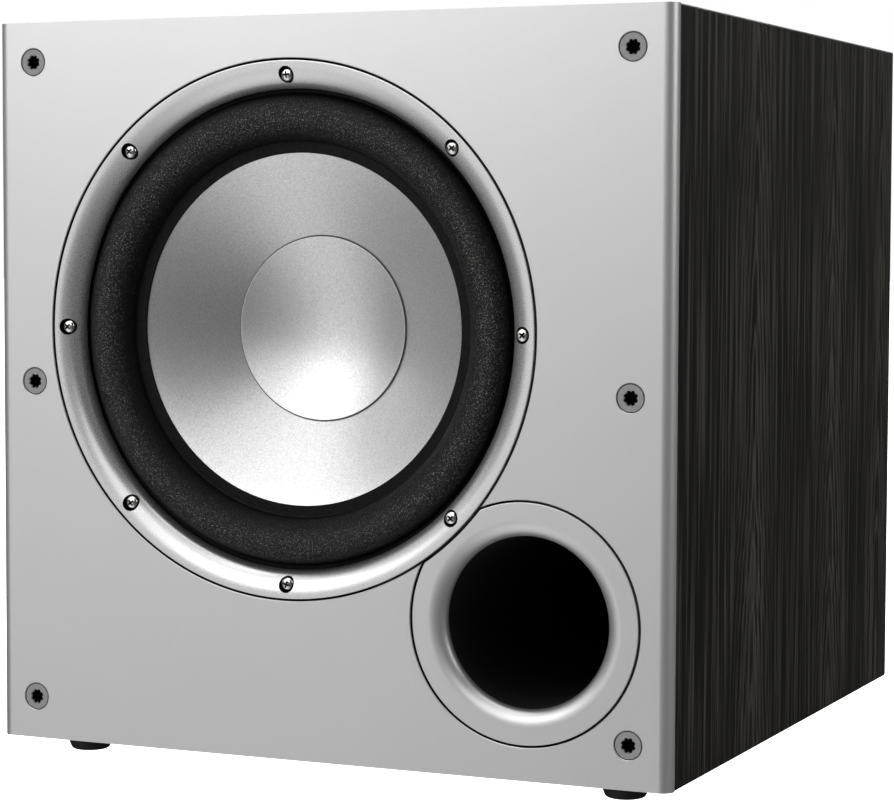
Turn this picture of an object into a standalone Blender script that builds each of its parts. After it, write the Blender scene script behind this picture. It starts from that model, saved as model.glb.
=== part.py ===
"""A powered subwoofer: a veneered box with a silver front, one driver, a front port and a rear amplifier.

Sizes are in metres. The front face is the datum: x runs to the right as seen from the front, depth runs
back from the front face, and z runs up from the floor. Round pieces are turned about the local Z axis of
an empty that faces out of the box, so a profile point is (radius, depth behind that empty's face).
"""

import math

import bmesh
import bpy
from mathutils import Matrix, Vector

MM = 0.001
GAP = 0.3 * MM  # between pieces that touch

# Cabinet
WIDTH = 355.6 * MM
HEIGHT = 355.6 * MM  # without the feet
FOOT_HEIGHT = 9.5 * MM
FASCIA_THICKNESS = 6.5 * MM
FASCIA_EDGE_RADIUS = 5.8 * MM
BOX_DEPTH = 369.5 * MM  # front face to the rear panel's outer face
WALL = 18.0 * MM
BAFFLE_THICKNESS = 22.0 * MM
FOOT_RADIUS = 11.0 * MM
FOOT_INSET_X = 32.8 * MM
FOOT_INSET_Y = 31.0 * MM

# Driver
DRIVER_X = -17.6 * MM
DRIVER_Z = 206.0 * MM + FOOT_HEIGHT
RING_RADIUS = 128.3 * MM
RECESS_RADIUS = 129.3 * MM
RECESS_DEPTH = 18.2 * MM
CUTOUT_RADIUS = 117.2 * MM
RING_INNER = 115.2 * MM
SCREW_COUNT = 8
SCREW_CIRCLE = 121.5 * MM
CONE_RADIUS = 85.2 * MM
CONE_RIM_DEPTH = 17.0 * MM
CAP_RADIUS = 45.0 * MM
FORMER_RADIUS = 25.2 * MM
TOP_PLATE_DEPTH = 88.0 * MM
MAGNET_RADIUS = 72.0 * MM

# Port
PORT_X = 105.7 * MM
PORT_Z = 73.0 * MM + FOOT_HEIGHT
PORT_FLANGE_RADIUS = 56.4 * MM
PORT_RECESS_RADIUS = 57.4 * MM
PORT_BORE = 40.3 * MM
PORT_LENGTH = 190.0 * MM

# Grille sockets
SOCKET_X = 157.4 * MM
SOCKET_ROWS = {"top": 336.2 * MM, "middle": 178.7 * MM, "bottom": 20.7 * MM}
SOCKET_RADIUS = 6.9 * MM

# Amplifier, on the rear
PLATE_WIDTH = 230.0 * MM
PLATE_HEIGHT = 284.0 * MM
PLATE_THICKNESS = 3.0 * MM
PLATE_Z = 178.0 * MM + FOOT_HEIGHT
OPENING_HALF_WIDTH = 95.0 * MM
OPENING_HALF_HEIGHT = 125.0 * MM
SINK_HEIGHT = 22.0 * MM  # from the plate's outer face
CONTROL_ROW = 104.0 * MM  # above the plate's centre
KNOB_SPOTS = {"volume_knob": -60.0 * MM, "crossover_knob": -10.0 * MM}
PHASE_X = 34.0 * MM
MODE_X = 62.0 * MM
LAMP_X = 90.0 * MM
INPUT_SPOTS = {"line_input_left": -72.0 * MM, "line_input_right": -46.0 * MM}
INPUT_ROW = 62.0 * MM
MAINS_X = 45.0 * MM
MAINS_ROW = -98.0 * MM
ROCKER_X = 28.0 * MM
ROCKER_PIVOT_DEPTH = 2.0 * MM
ROCKER_REST_ANGLE = math.radians(8.0)
INLET_X = 57.0 * MM
BOARD_DEPTH = 31.0 * MM

OVERALL_DEPTH = BOX_DEPTH + GAP + PLATE_THICKNESS + SINK_HEIGHT

# Facets round a full turn
LARGE, MEDIUM, SMALL, TINY = 48, 32, 20, 12
CAP_SIDES = 24
SCREW_SIDES = 10
HOLE_SIDES = 10
POST_SIDES = 8


def clear_scene():
    for item in list(bpy.data.objects):
        bpy.data.objects.remove(item, do_unlink=True)


def new_collection(name):
    made = bpy.data.collections.new(name)
    bpy.context.scene.collection.children.link(made)
    return made


def new_material(name, colour, roughness, metallic=0.0):
    made = bpy.data.materials.new(name)
    made.use_nodes = True
    shader = made.node_tree.nodes["Principled BSDF"]
    shader.inputs["Base Color"].default_value = (*colour, 1.0)
    shader.inputs["Roughness"].default_value = roughness
    shader.inputs["Metallic"].default_value = metallic
    return made


clear_scene()
PARTS = new_collection("subwoofer")
CUTTERS = new_collection("cutters")

VENEER = new_material("black_ash_veneer", (0.030, 0.029, 0.027), 0.5)
BOARD_WOOD = new_material("fibreboard", (0.35, 0.24, 0.15), 0.8)
SILVER = new_material("silver_paint", (0.55, 0.55, 0.55), 0.4, 0.6)
RING_SILVER = new_material("ring_silver", (0.60, 0.60, 0.60), 0.32, 0.8)
CONE_SILVER = new_material("cone_silver", (0.58, 0.58, 0.57), 0.35, 0.8)
FOAM = new_material("surround_foam", (0.02, 0.02, 0.02), 0.9)
BLACK_PLASTIC = new_material("black_plastic", (0.02, 0.02, 0.02), 0.45)
SOCKET_GREY = new_material("socket_grey", (0.30, 0.30, 0.30), 0.55)
RUBBER = new_material("black_rubber", (0.015, 0.015, 0.015), 0.8)
CAST = new_material("cast_alloy", (0.10, 0.10, 0.10), 0.55, 0.6)
STEEL = new_material("zinc_steel", (0.60, 0.60, 0.60), 0.3, 1.0)
FERRITE = new_material("ferrite", (0.04, 0.04, 0.045), 0.7)
COPPER = new_material("copper", (0.72, 0.35, 0.18), 0.35, 1.0)
SPIDER_CLOTH = new_material("spider_cloth", (0.55, 0.33, 0.12), 0.9)
CIRCUIT = new_material("circuit_board", (0.03, 0.20, 0.08), 0.5)
PLATE_BLACK = new_material("plate_black", (0.02, 0.02, 0.02), 0.5, 0.4)
ANODISED = new_material("black_anodised", (0.03, 0.03, 0.03), 0.4, 0.8)
GOLD = new_material("gold_plate", (0.80, 0.58, 0.24), 0.25, 1.0)
LAMP_GREEN = new_material("lamp_green", (0.10, 0.60, 0.15), 0.2)
WADDING = new_material("grey_foam", (0.12, 0.12, 0.13), 0.95)


# ---------------------------------------------------------------- modelling helpers


def datum(name, location, rotation=(0.0, 0.0, 0.0), parent=None):
    """An empty that pieces are placed from."""
    made = bpy.data.objects.new(name, None)
    made.location = location
    made.rotation_euler = rotation
    made.parent = parent
    PARTS.objects.link(made)
    return made


def place(name, data, parent, material, location=(0, 0, 0), rotation=(0, 0, 0)):
    """A new object. One with no material is a cutter or another helper, and isn't part of the model."""
    made = bpy.data.objects.new(name, data)
    made.parent = parent
    made.location = location
    made.rotation_euler = rotation
    if material is None:
        CUTTERS.objects.link(made)
        made.hide_render = True
        made.display_type = "WIRE"
    else:
        PARTS.objects.link(made)
        data.materials.append(material)
    return made


def box(name, low, high, parent, material=None, origin=(0.0, 0.0, 0.0)):
    """A block between two corners, given in the parent's axes, with its own origin at origin."""
    size = Vector(high) - Vector(low)
    middle = (Vector(high) + Vector(low)) / 2 - Vector(origin)
    shape = bmesh.new()
    bmesh.ops.create_cube(shape, size=1.0)
    for vertex in shape.verts:
        vertex.co = Vector(a * b for a, b in zip(vertex.co, size)) + middle
    mesh = bpy.data.meshes.new(name)
    shape.to_mesh(mesh)
    shape.free()
    return place(name, mesh, parent, material, origin)


def turned(name, profile, segments, parent, material=None, location=(0.0, 0.0, 0.0)):
    """A profile of (radius, depth) points turned about Z. It starts at the front of its outer side.

    A profile that starts and ends on the axis stays open there; any other one is a closed ring.
    """
    points = [(radius, 0.0, -depth) for radius, depth in profile]
    count = len(points)
    edges = [(index, index + 1) for index in range(count - 1)]
    if profile[0][0] > 0.0 or profile[-1][0] > 0.0:
        edges.append((count - 1, 0))
    mesh = bpy.data.meshes.new(name)
    mesh.from_pydata(points, edges, [])
    made = place(name, mesh, parent, material, location)
    screw = made.modifiers.new("turn", "SCREW")
    screw.axis = "Z"
    screw.angle = math.tau
    screw.steps = segments
    screw.render_steps = segments
    screw.use_merge_vertices = True
    screw.merge_threshold = 1e-5
    screw.use_smooth_shade = False
    return made


def drum(name, radius, start, end, segments, parent, material=None, location=(0.0, 0.0, 0.0)):
    """A plain cylinder between two depths."""
    profile = [(0.0, start), (radius, start), (radius, end), (0.0, end)]
    return turned(name, profile, segments, parent, material, location)


def extruded(name, outline, thickness, parent, material=None, location=(0, 0, 0), rotation=(0, 0, 0)):
    """A flat outline in the local XY plane, given thickness both ways along Z."""
    curve = bpy.data.curves.new(name, "CURVE")
    curve.dimensions = "2D"
    curve.fill_mode = "BOTH"
    curve.extrude = thickness / 2
    spline = curve.splines.new("POLY")
    spline.points.add(len(outline) - 1)
    for point, (x, y) in zip(spline.points, outline):
        point.co = (x, y, 0.0, 1.0)
    spline.use_cyclic_u = True
    drawn = bpy.data.objects.new(name + "_outline", curve)
    bpy.context.scene.collection.objects.link(drawn)
    graph = bpy.context.evaluated_depsgraph_get()
    mesh = bpy.data.meshes.new_from_object(drawn.evaluated_get(graph))
    bpy.data.objects.remove(drawn, do_unlink=True)
    shape = bmesh.new()
    shape.from_mesh(mesh)
    bmesh.ops.remove_doubles(shape, verts=shape.verts, dist=1e-6)
    bmesh.ops.recalc_face_normals(shape, faces=shape.faces)
    shape.to_mesh(mesh)
    shape.free()
    return place(name, mesh, parent, material, location, rotation)


def through(points, count):
    """Points evenly spaced in parameter on a smooth curve through the given ones."""
    route = [Vector(point) for point in points]
    route = [2 * route[0] - route[1], *route, 2 * route[-1] - route[-2]]
    spans = len(route) - 3
    found = []
    for step in range(count):
        at = step / (count - 1) * spans
        span = min(int(at), spans - 1)
        t = at - span
        a, b, c, d = route[span : span + 4]
        square = (2 * a - 5 * b + 4 * c - d) * t**2
        cube = (3 * b - a - 3 * c + d) * t**3
        found.append(0.5 * ((2 * b) + (c - a) * t + square + cube))
    return found


def wire(name, points, radius, parent, material):
    """A round wire along points."""
    curve = bpy.data.curves.new(name, "CURVE")
    curve.dimensions = "3D"
    curve.bevel_depth = radius
    curve.bevel_resolution = 1
    curve.use_fill_caps = True
    spline = curve.splines.new("POLY")
    spline.points.add(len(points) - 1)
    for point, spot in zip(spline.points, points):
        point.co = (*spot, 1.0)
    return place(name, curve, parent, material)


def apply_boolean(target, helper, operation):
    modifier = target.modifiers.new(helper.name, "BOOLEAN")
    modifier.operation = operation
    modifier.solver = "EXACT"
    modifier.object = helper


def cut(target, *cutters):
    for cutter in cutters:
        apply_boolean(target, cutter, "DIFFERENCE")


def join(target, *helpers):
    for helper in helpers:
        apply_boolean(target, helper, "UNION")


def arc(centre, radius, start, end, steps):
    """Points on an arc between two angles in degrees."""
    found = []
    for step in range(steps + 1):
        angle = math.radians(start + (end - start) * step / steps)
        found.append((centre[0] + radius * math.cos(angle), centre[1] + radius * math.sin(angle)))
    return found


# ---------------------------------------------------------------- datums

FRONT = datum("front_face", (0.0, -OVERALL_DEPTH / 2, 0.0))
FACING_FRONT = (math.radians(90.0), 0.0, 0.0)
FACING_REAR = (math.radians(90.0), 0.0, math.radians(180.0))
DRIVER = datum("driver_axis", (DRIVER_X, 0.0, DRIVER_Z), FACING_FRONT, FRONT)
PORT = datum("port_axis", (PORT_X, 0.0, PORT_Z), FACING_FRONT, FRONT)
PLATE_FACE = BOX_DEPTH + GAP + PLATE_THICKNESS
REAR = datum("amplifier_face", (0.0, PLATE_FACE, PLATE_Z), FACING_REAR, FRONT)


# ---------------------------------------------------------------- cutters shared by the front pieces


def socket_spots():
    for row, height in SOCKET_ROWS.items():
        for side, sign in (("left", -1.0), ("right", 1.0)):
            yield f"{row}_{side}", (sign * SOCKET_X, 0.0, height + FOOT_HEIGHT)


def screw_spots():
    for index in range(SCREW_COUNT):
        angle = math.tau * index / SCREW_COUNT
        yield SCREW_CIRCLE * math.cos(angle), SCREW_CIRCLE * math.sin(angle)


def stepped_cutter(name, steps, segments, parent, location=(0.0, 0.0, 0.0)):
    """A cutter whose radius changes at each given depth, from just in front of the face."""
    front = -5.0 * MM
    profile = [(0.0, front)]
    start = front
    for radius, end in steps:
        profile += [(radius, start), (radius, end)]
        start = end
    profile.append((0.0, start))
    return turned(name, profile, segments, parent, None, location)


DRIVER_HOLE = stepped_cutter(
    "driver_hole", [(RECESS_RADIUS, RECESS_DEPTH), (CUTOUT_RADIUS, 40.0 * MM)], LARGE, DRIVER
)
PORT_HOLE = stepped_cutter(
    "port_hole", [(PORT_RECESS_RADIUS, FASCIA_THICKNESS + GAP / 2), (46.0 * MM, 40.0 * MM)], LARGE, PORT
)
SOCKET_HOLES = []
for spot_name, spot in socket_spots():
    axis = datum(f"socket_axis_{spot_name}", spot, FACING_FRONT, FRONT)
    steps = [(7.2 * MM, FASCIA_THICKNESS + GAP / 2), (5.6 * MM, 18.0 * MM)]
    SOCKET_HOLES.append(stepped_cutter(f"socket_hole_{spot_name}", steps, TINY, axis))
SCREW_HOLES = []
for index, (x, y) in enumerate(screw_spots()):
    steps = [(3.85 * MM, 4.5 * MM), (2.2 * MM, 26.0 * MM)]
    SCREW_HOLES.append(stepped_cutter(f"screw_hole_{index + 1}", steps, SCREW_SIDES, DRIVER, (x, y, 0.0)))


# ---------------------------------------------------------------- cabinet


def make_fascia():
    half = WIDTH / 2
    edge = FASCIA_EDGE_RADIUS
    outline = arc((half - edge, edge), edge, -90.0, 0.0, 5)
    outline += [(half, FASCIA_THICKNESS), (-half, FASCIA_THICKNESS)]
    outline += arc((-half + edge, edge), edge, 180.0, 270.0, 5)
    fascia = extruded("front_fascia", outline, HEIGHT, FRONT, SILVER, (0.0, 0.0, FOOT_HEIGHT + HEIGHT / 2))
    cut(fascia, DRIVER_HOLE, PORT_HOLE, *SOCKET_HOLES)


def make_panels():
    half = WIDTH / 2
    inside = half - WALL
    front = FASCIA_THICKNESS + GAP
    floor = FOOT_HEIGHT
    roof = FOOT_HEIGHT + HEIGHT
    left = box("left_side_panel", (-half, front, floor), (-inside, BOX_DEPTH, roof), FRONT, VENEER)
    right = box("right_side_panel", (inside, front, floor), (half, BOX_DEPTH, roof), FRONT, VENEER)
    span = inside - GAP
    bottom = box("bottom_panel", (-span, front, floor), (span, BOX_DEPTH, floor + WALL), FRONT, VENEER)
    top = box("top_panel", (-span, front, roof - WALL), (span, BOX_DEPTH, roof), FRONT, VENEER)
    low = floor + WALL + GAP
    high = roof - WALL - GAP
    baffle_back = front + BAFFLE_THICKNESS
    baffle = box("front_baffle", (-span, front, low), (span, baffle_back, high), FRONT, BOARD_WOOD)
    cut(baffle, DRIVER_HOLE, PORT_HOLE, *SCREW_HOLES)
    for panel in (left, right, bottom, top, baffle):
        cut(panel, *SOCKET_HOLES)
    rear = box("rear_panel", (-span, BOX_DEPTH - WALL, low), (span, BOX_DEPTH, high), FRONT, VENEER)
    opening = box(
        "amplifier_opening",
        (-OPENING_HALF_WIDTH, BOX_DEPTH - 2 * WALL, PLATE_Z - OPENING_HALF_HEIGHT),
        (OPENING_HALF_WIDTH, BOX_DEPTH + WALL, PLATE_Z + OPENING_HALF_HEIGHT),
        FRONT,
    )
    cut(rear, opening)
    brace_low = (-span, 215.0 * MM, 178.0 * MM + FOOT_HEIGHT)
    brace_high = (span, 265.0 * MM, brace_low[2] + WALL)
    box("cross_brace", brace_low, brace_high, FRONT, BOARD_WOOD)
    foam_low = (-150.0 * MM, 60.0 * MM, 319.0 * MM + FOOT_HEIGHT)
    foam_high = (150.0 * MM, 330.0 * MM, high - 1.0 * MM)
    box("damping_foam", foam_low, foam_high, FRONT, WADDING)


def make_feet():
    """Rubber feet with a rounded lower edge and a counterbore for the screw."""
    edge = 4.0 * MM
    top = FOOT_HEIGHT - GAP
    rounded = [(radius, -height) for radius, height in arc((FOOT_RADIUS - edge, edge), edge, 0.0, -90.0, 3)]
    profile = [(0.0, -top), (FOOT_RADIUS, -top), *rounded]
    profile += [(3.2 * MM, 0.0), (3.2 * MM, -3.0 * MM), (0.0, -3.0 * MM)]
    for row, y in (("front", FOOT_INSET_Y), ("rear", BOX_DEPTH - FOOT_INSET_Y)):
        for side, sign in (("left", -1.0), ("right", 1.0)):
            x = sign * (WIDTH / 2 - FOOT_INSET_X)
            turned(f"foot_{row}_{side}", profile, TINY, FRONT, RUBBER, (x, y, 0.0))


def make_sockets():
    """Cups that the grille's pegs push into."""
    flange_end = FASCIA_THICKNESS - 0.2 * MM
    bore, stem = 3.3 * MM, 5.2 * MM
    front, floor, end = 0.2 * MM, 15.0 * MM, 17.0 * MM
    profile = [(0.0, floor), (bore, floor), (bore, front), (SOCKET_RADIUS, front)]
    profile += [(SOCKET_RADIUS, flange_end), (stem, flange_end), (stem, end), (0.0, end)]
    for spot_name, _ in socket_spots():
        axis = bpy.data.objects[f"socket_axis_{spot_name}"]
        turned(f"grille_socket_{spot_name}", profile, TINY, axis, SOCKET_GREY)


# ---------------------------------------------------------------- driver


def make_trim_ring():
    """The ring's face is a quarter of an ellipse, flat at its outer edge and steep at its inner one."""
    lip = 9.0 * MM
    width = RING_RADIUS - RING_INNER
    face = []
    steps = 5
    for step in range(steps + 1):
        angle = math.radians(90.0 * step / steps)
        face.append((RING_RADIUS - width * math.sin(angle), lip * (1 - math.cos(angle)) + 0.1 * MM))
    seat = 13.1 * MM
    back = 9.9 * MM
    profile = [face[0], (RING_RADIUS, seat), (119.6 * MM, seat), (119.6 * MM, back), (RING_INNER, back)]
    profile += face[:0:-1]
    ring = turned("driver_trim_ring", profile, LARGE, DRIVER, RING_SILVER)
    cut(ring, *SCREW_HOLES)


def make_screws():
    """Pan-head screws through the ring and the basket's flange into the baffle."""
    head = 3.1 * MM
    shank = 1.9 * MM
    profile = [(0.0, 1.9 * MM), (2.0 * MM, 2.1 * MM), (head, 3.0 * MM), (head, 4.2 * MM), (shank, 4.2 * MM)]
    profile += [(shank, 25.0 * MM), (0.0, 25.0 * MM)]
    for index, (x, y) in enumerate(screw_spots()):
        turned(f"driver_screw_{index + 1}", profile, SCREW_SIDES, DRIVER, STEEL, (x, y, 0.0))


def make_basket():
    """A flange, a cup that carries the spider and the magnet, and six spokes between them."""
    inner = 112.5 * MM
    outer = 127.6 * MM
    flange = [(outer, 13.4 * MM), (outer, 17.9 * MM), (inner, 17.9 * MM), (inner, 13.4 * MM)]
    basket = turned("driver_basket", flange, MEDIUM, DRIVER, CAST)
    seat = TOP_PLATE_DEPTH - GAP
    ledge, step, floor = 67.3 * MM, 71.3 * MM, 84.0 * MM
    rim, wall, shelf, throat = 66.0 * MM, 62.3 * MM, 59.5 * MM, 36.0 * MM
    cup = [(rim, ledge), (rim, seat), (throat, seat), (throat, floor), (wall, floor)]
    cup += [(wall, step), (shelf, step), (shelf, ledge)]
    join(basket, turned("basket_cup", cup, MEDIUM, DRIVER))
    spoke = [(113.2, -15.5), (116.5, -15.5), (116.5, -26.0), (68.5, -86.0)]
    spoke += [(64.0, -86.0), (64.0, -73.0), (113.2, -19.5)]
    spoke = [(x * MM, y * MM) for x, y in spoke]
    for index in range(6):
        angle = math.radians(30.0 + 60.0 * index)
        turn = (math.radians(90.0), 0.0, angle)
        join(basket, extruded(f"spoke_{index + 1}", spoke, 9.0 * MM, DRIVER, None, rotation=turn))
    cut(basket, *SCREW_HOLES)


def make_gasket():
    """A flat rubber ring between the trim ring and the surround's lip."""
    inner, outer = 115.6 * MM, 119.2 * MM
    front, back = 10.2 * MM, 11.6 * MM
    profile = [(outer, front), (outer, back), (inner, back), (inner, front)]
    turned("driver_gasket", profile, MEDIUM, DRIVER, RUBBER)


def surround_profile():
    """Outer lip, half roll and inner lip, front surface first."""
    thickness = 1.2 * MM
    outer, inner = 113.0 * MM, 90.5 * MM
    outer_depth, inner_depth = 11.9 * MM, 15.4 * MM
    middle = (outer + inner) / 2
    rise = 10.5 * MM

    def base(radius):
        return outer_depth + (inner_depth - outer_depth) * (outer - radius) / (outer - inner)

    def roll(half_width, offset):
        points = []
        for step in range(7):
            angle = math.pi * step / 6
            radius = middle + half_width * math.cos(angle)
            points.append((radius, base(radius) + offset - rise * math.sin(angle)))
        return points

    lip_end = 84.9 * MM
    edge = 119.2 * MM
    front = [(edge, outer_depth), *roll(outer - middle, 0.0), (lip_end, inner_depth + 0.15 * MM)]
    back = [(edge, outer_depth + thickness), *roll(outer - middle - thickness, thickness)]
    back.append((lip_end, inner_depth + thickness))
    return [front[0], *back, *front[:0:-1]]


def cone_depth(radius):
    neck = FORMER_RADIUS + GAP
    share = (CONE_RADIUS - radius) / (CONE_RADIUS - neck)
    return CONE_RIM_DEPTH + 35.0 * MM * share**1.05


def make_cone():
    neck = FORMER_RADIUS + GAP
    thickness = 1.1 * MM
    rim = 90.0 * MM
    radii = [CONE_RADIUS + (neck - CONE_RADIUS) * step / 4 for step in range(5)]
    front = [(rim, CONE_RIM_DEPTH)] + [(radius, cone_depth(radius)) for radius in radii]
    back = [(radius, cone_depth(radius) + thickness) for radius in radii[:-1]]
    neck_end = cone_depth(neck) + 3.0 * MM
    back = [(rim, CONE_RIM_DEPTH + thickness), *back]
    back += [(neck + thickness, neck_end - 1.0 * MM), (neck, neck_end)]
    turned("cone", [front[0], *back, *front[:0:-1]], MEDIUM, DRIVER, CONE_SILVER)


def make_dust_cap():
    """A dished cap that closes the cone's middle."""
    rim_depth = cone_depth(CAP_RADIUS) - 1.15 * MM
    dish = 9.0 * MM
    thickness = 0.8 * MM
    radii = [CAP_RADIUS * step / 5 for step in range(6)]
    front = [(radius, rim_depth + dish * (1 - (radius / CAP_RADIUS) ** 2)) for radius in radii]
    back = [(radius, depth + thickness) for radius, depth in reversed(front)]
    turned("dust_cap", front + back, CAP_SIDES, DRIVER, CONE_SILVER)


def make_voice_coil():
    inner = FORMER_RADIUS - 0.6 * MM
    front, back = 49.0 * MM, 106.0 * MM
    former = [(FORMER_RADIUS, front), (FORMER_RADIUS, back), (inner, back), (inner, front)]
    turned("voice_coil_former", former, SMALL, DRIVER, BOARD_WOOD)
    near = FORMER_RADIUS + 0.4 * MM
    far = FORMER_RADIUS + 1.7 * MM
    winding = [(far, 80.0 * MM), (far, 104.0 * MM), (near, 104.0 * MM), (near, 80.0 * MM)]
    turned("voice_coil_winding", winding, SMALL, DRIVER, COPPER)


def make_spider():
    """A corrugated disc that centres the coil."""
    middle = 64.6 * MM
    swing = 1.8 * MM
    thickness = 0.8 * MM
    first, last = 31.0 * MM, 57.0 * MM
    waves = 6
    ridge = []
    for step in range(waves + 1):
        side = 1.0 if step % 2 else -1.0
        ridge.append((last + (first - last) * step / waves, middle + side * swing))
    ridge = [(62.0 * MM, middle + 1.6 * MM), *ridge, (FORMER_RADIUS + 0.6 * MM, middle)]
    back = [(radius, depth + thickness) for radius, depth in ridge]
    turned("spider", [ridge[0], *back, *ridge[:0:-1]], SMALL, DRIVER, SPIDER_CLOTH)


def make_motor():
    front = TOP_PLATE_DEPTH
    plate_end = front + 8.0 * MM
    gap_radius = 28.2 * MM
    outer = 68.0 * MM
    plate = [(outer, front), (outer, plate_end), (gap_radius, plate_end), (gap_radius, front)]
    turned("top_plate", plate, SMALL, DRIVER, STEEL)
    magnet_start = plate_end + GAP
    magnet_end = magnet_start + 30.0 * MM
    hole = 31.5 * MM
    magnet = [(MAGNET_RADIUS, magnet_start), (MAGNET_RADIUS, magnet_end)]
    magnet += [(hole, magnet_end), (hole, magnet_start)]
    turned("magnet", magnet, SMALL, DRIVER, FERRITE)
    yoke_start = magnet_end + GAP
    yoke_end = yoke_start + 8.0 * MM
    pole = 23.4 * MM
    vent = 8.0 * MM
    yoke = [(pole, front + 0.5 * MM), (pole, yoke_start), (outer, yoke_start), (outer, yoke_end)]
    yoke += [(vent, yoke_end), (vent, front + 0.5 * MM)]
    turned("pole_yoke", yoke, SMALL, DRIVER, STEEL)


def make_driver_wiring():
    """The terminal board on the cup, the leads to the coil and the cable to the amplifier."""
    box(
        "terminal_board",
        (66.4 * MM, -14.0 * MM, -84.0 * MM),
        (69.4 * MM, 14.0 * MM, -70.0 * MM),
        DRIVER,
        BLACK_PLASTIC,
    )
    route = [(26.7, 58.9), (38.0, 60.2), (50.0, 60.4), (60.0, 61.4), (67.0, 65.0), (67.9, 69.0)]
    for name, side in (("tinsel_lead_a", 1.0), ("tinsel_lead_b", -1.0)):
        points = [(radius * MM, side * (4.0 + radius * 0.07) * MM, -depth * MM) for radius, depth in route]
        wire(name, through(points, 9), 0.7 * MM, DRIVER, COPPER)
    cable = [
        (DRIVER_X + 69.9 * MM, 77.0 * MM, DRIVER_Z),
        (DRIVER_X + 79.0 * MM, 79.0 * MM, DRIVER_Z),
        (DRIVER_X + 87.0 * MM, 97.0 * MM, DRIVER_Z - 1.0 * MM),
        (DRIVER_X + 88.0 * MM, 150.0 * MM, DRIVER_Z - 4.0 * MM),
        (70.0 * MM, 205.0 * MM, 210.0 * MM),
        (63.0 * MM, 240.0 * MM, 208.8 * MM),
        (52.0 * MM, 275.0 * MM, 212.0 * MM),
        (34.0 * MM, 305.0 * MM, 234.0 * MM),
        (30.0 * MM, 339.3 * MM, 240.0 * MM),
    ]
    wire("driver_cable", through(cable, 26), 2.4 * MM, FRONT, RUBBER)


# ---------------------------------------------------------------- port


def make_port():
    """A flange that rolls into the bore, and the tube behind it."""
    mouth_depth = 6.2 * MM
    roll_width = 8.0 * MM
    face = []
    for step in range(6):
        angle = math.radians(90.0 * step / 5)
        radius = PORT_BORE + roll_width * (1 - math.sin(angle))
        face.append((radius, 0.1 * MM + (mouth_depth - 0.1 * MM) * (1 - math.cos(angle))))
    back = 6.3 * MM
    profile = [(PORT_FLANGE_RADIUS, 0.1 * MM), (PORT_FLANGE_RADIUS, back), (PORT_BORE, back)]
    profile += face[:-1][::-1]
    flange = turned("port_flange", profile, LARGE, PORT, SILVER)
    clip = drum("port_flange_clip", RECESS_RADIUS + 0.6 * MM, -5.0 * MM, 20.0 * MM, LARGE, DRIVER)
    cut(flange, clip)
    front = 7.1 * MM
    collar = 45.6 * MM
    wall = 43.0 * MM
    bore = PORT_BORE + 0.2 * MM
    collar_end = 27.0 * MM
    tube = [(collar, front), (collar, collar_end), (wall, collar_end), (wall, PORT_LENGTH - 1.0 * MM)]
    tube += [(wall - 1.0 * MM, PORT_LENGTH), (bore, PORT_LENGTH), (bore, front)]
    turned("port_tube", tube, MEDIUM, PORT, BLACK_PLASTIC)


# ---------------------------------------------------------------- amplifier


def rear_box(name, centre, size, near, far, material=None, origin=(0.0, 0.0, 0.0)):
    """A block on the rear datum, between two depths behind the plate's outer face."""
    (x, y), (wide, high) = centre, size
    low = (x - wide / 2, y - high / 2, -far)
    top = (x + wide / 2, y + high / 2, -near)
    return box(name, low, top, REAR, material, origin)


def make_amplifier_plate():
    size = (PLATE_WIDTH, PLATE_HEIGHT)
    plate = rear_box("amplifier_plate", (0.0, 0.0), size, 0.0, PLATE_THICKNESS, PLATE_BLACK)
    for x, y in ((-78.0, 116.0), (78.0, 116.0), (-78.0, 0.0), (78.0, 0.0)):
        spot = (x * MM, y * MM, 0.0)
        name = f"post_{x:.0f}_{y:.0f}"
        join(plate, drum(name, 3.0 * MM, 2.0 * MM, BOARD_DEPTH - GAP, POST_SIDES, REAR, None, spot))
    outside, inside = -1.0 * MM, 4.0 * MM
    round_holes = [(f"hole_{name}", 3.8 * MM, (x, CONTROL_ROW, 0.0)) for name, x in KNOB_SPOTS.items()]
    round_holes.append(("hole_lamp", 2.8 * MM, (LAMP_X, CONTROL_ROW, 0.0)))
    round_holes += [(f"hole_{name}", 4.9 * MM, (x, INPUT_ROW, 0.0)) for name, x in INPUT_SPOTS.items()]
    holes = []
    for name, radius, spot in round_holes:
        holes.append(drum(name, radius, outside, inside, HOLE_SIDES, REAR, None, spot))
    slot = (4.4 * MM, 11.6 * MM)
    for name, x in (("phase", PHASE_X), ("mode", MODE_X)):
        holes.append(rear_box(f"slot_{name}", (x, CONTROL_ROW), slot, outside, inside))
    window = (56.6 * MM, 26.6 * MM)
    holes.append(rear_box("mains_window", (MAINS_X, MAINS_ROW), window, outside, inside))
    cut(plate, *holes)


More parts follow.
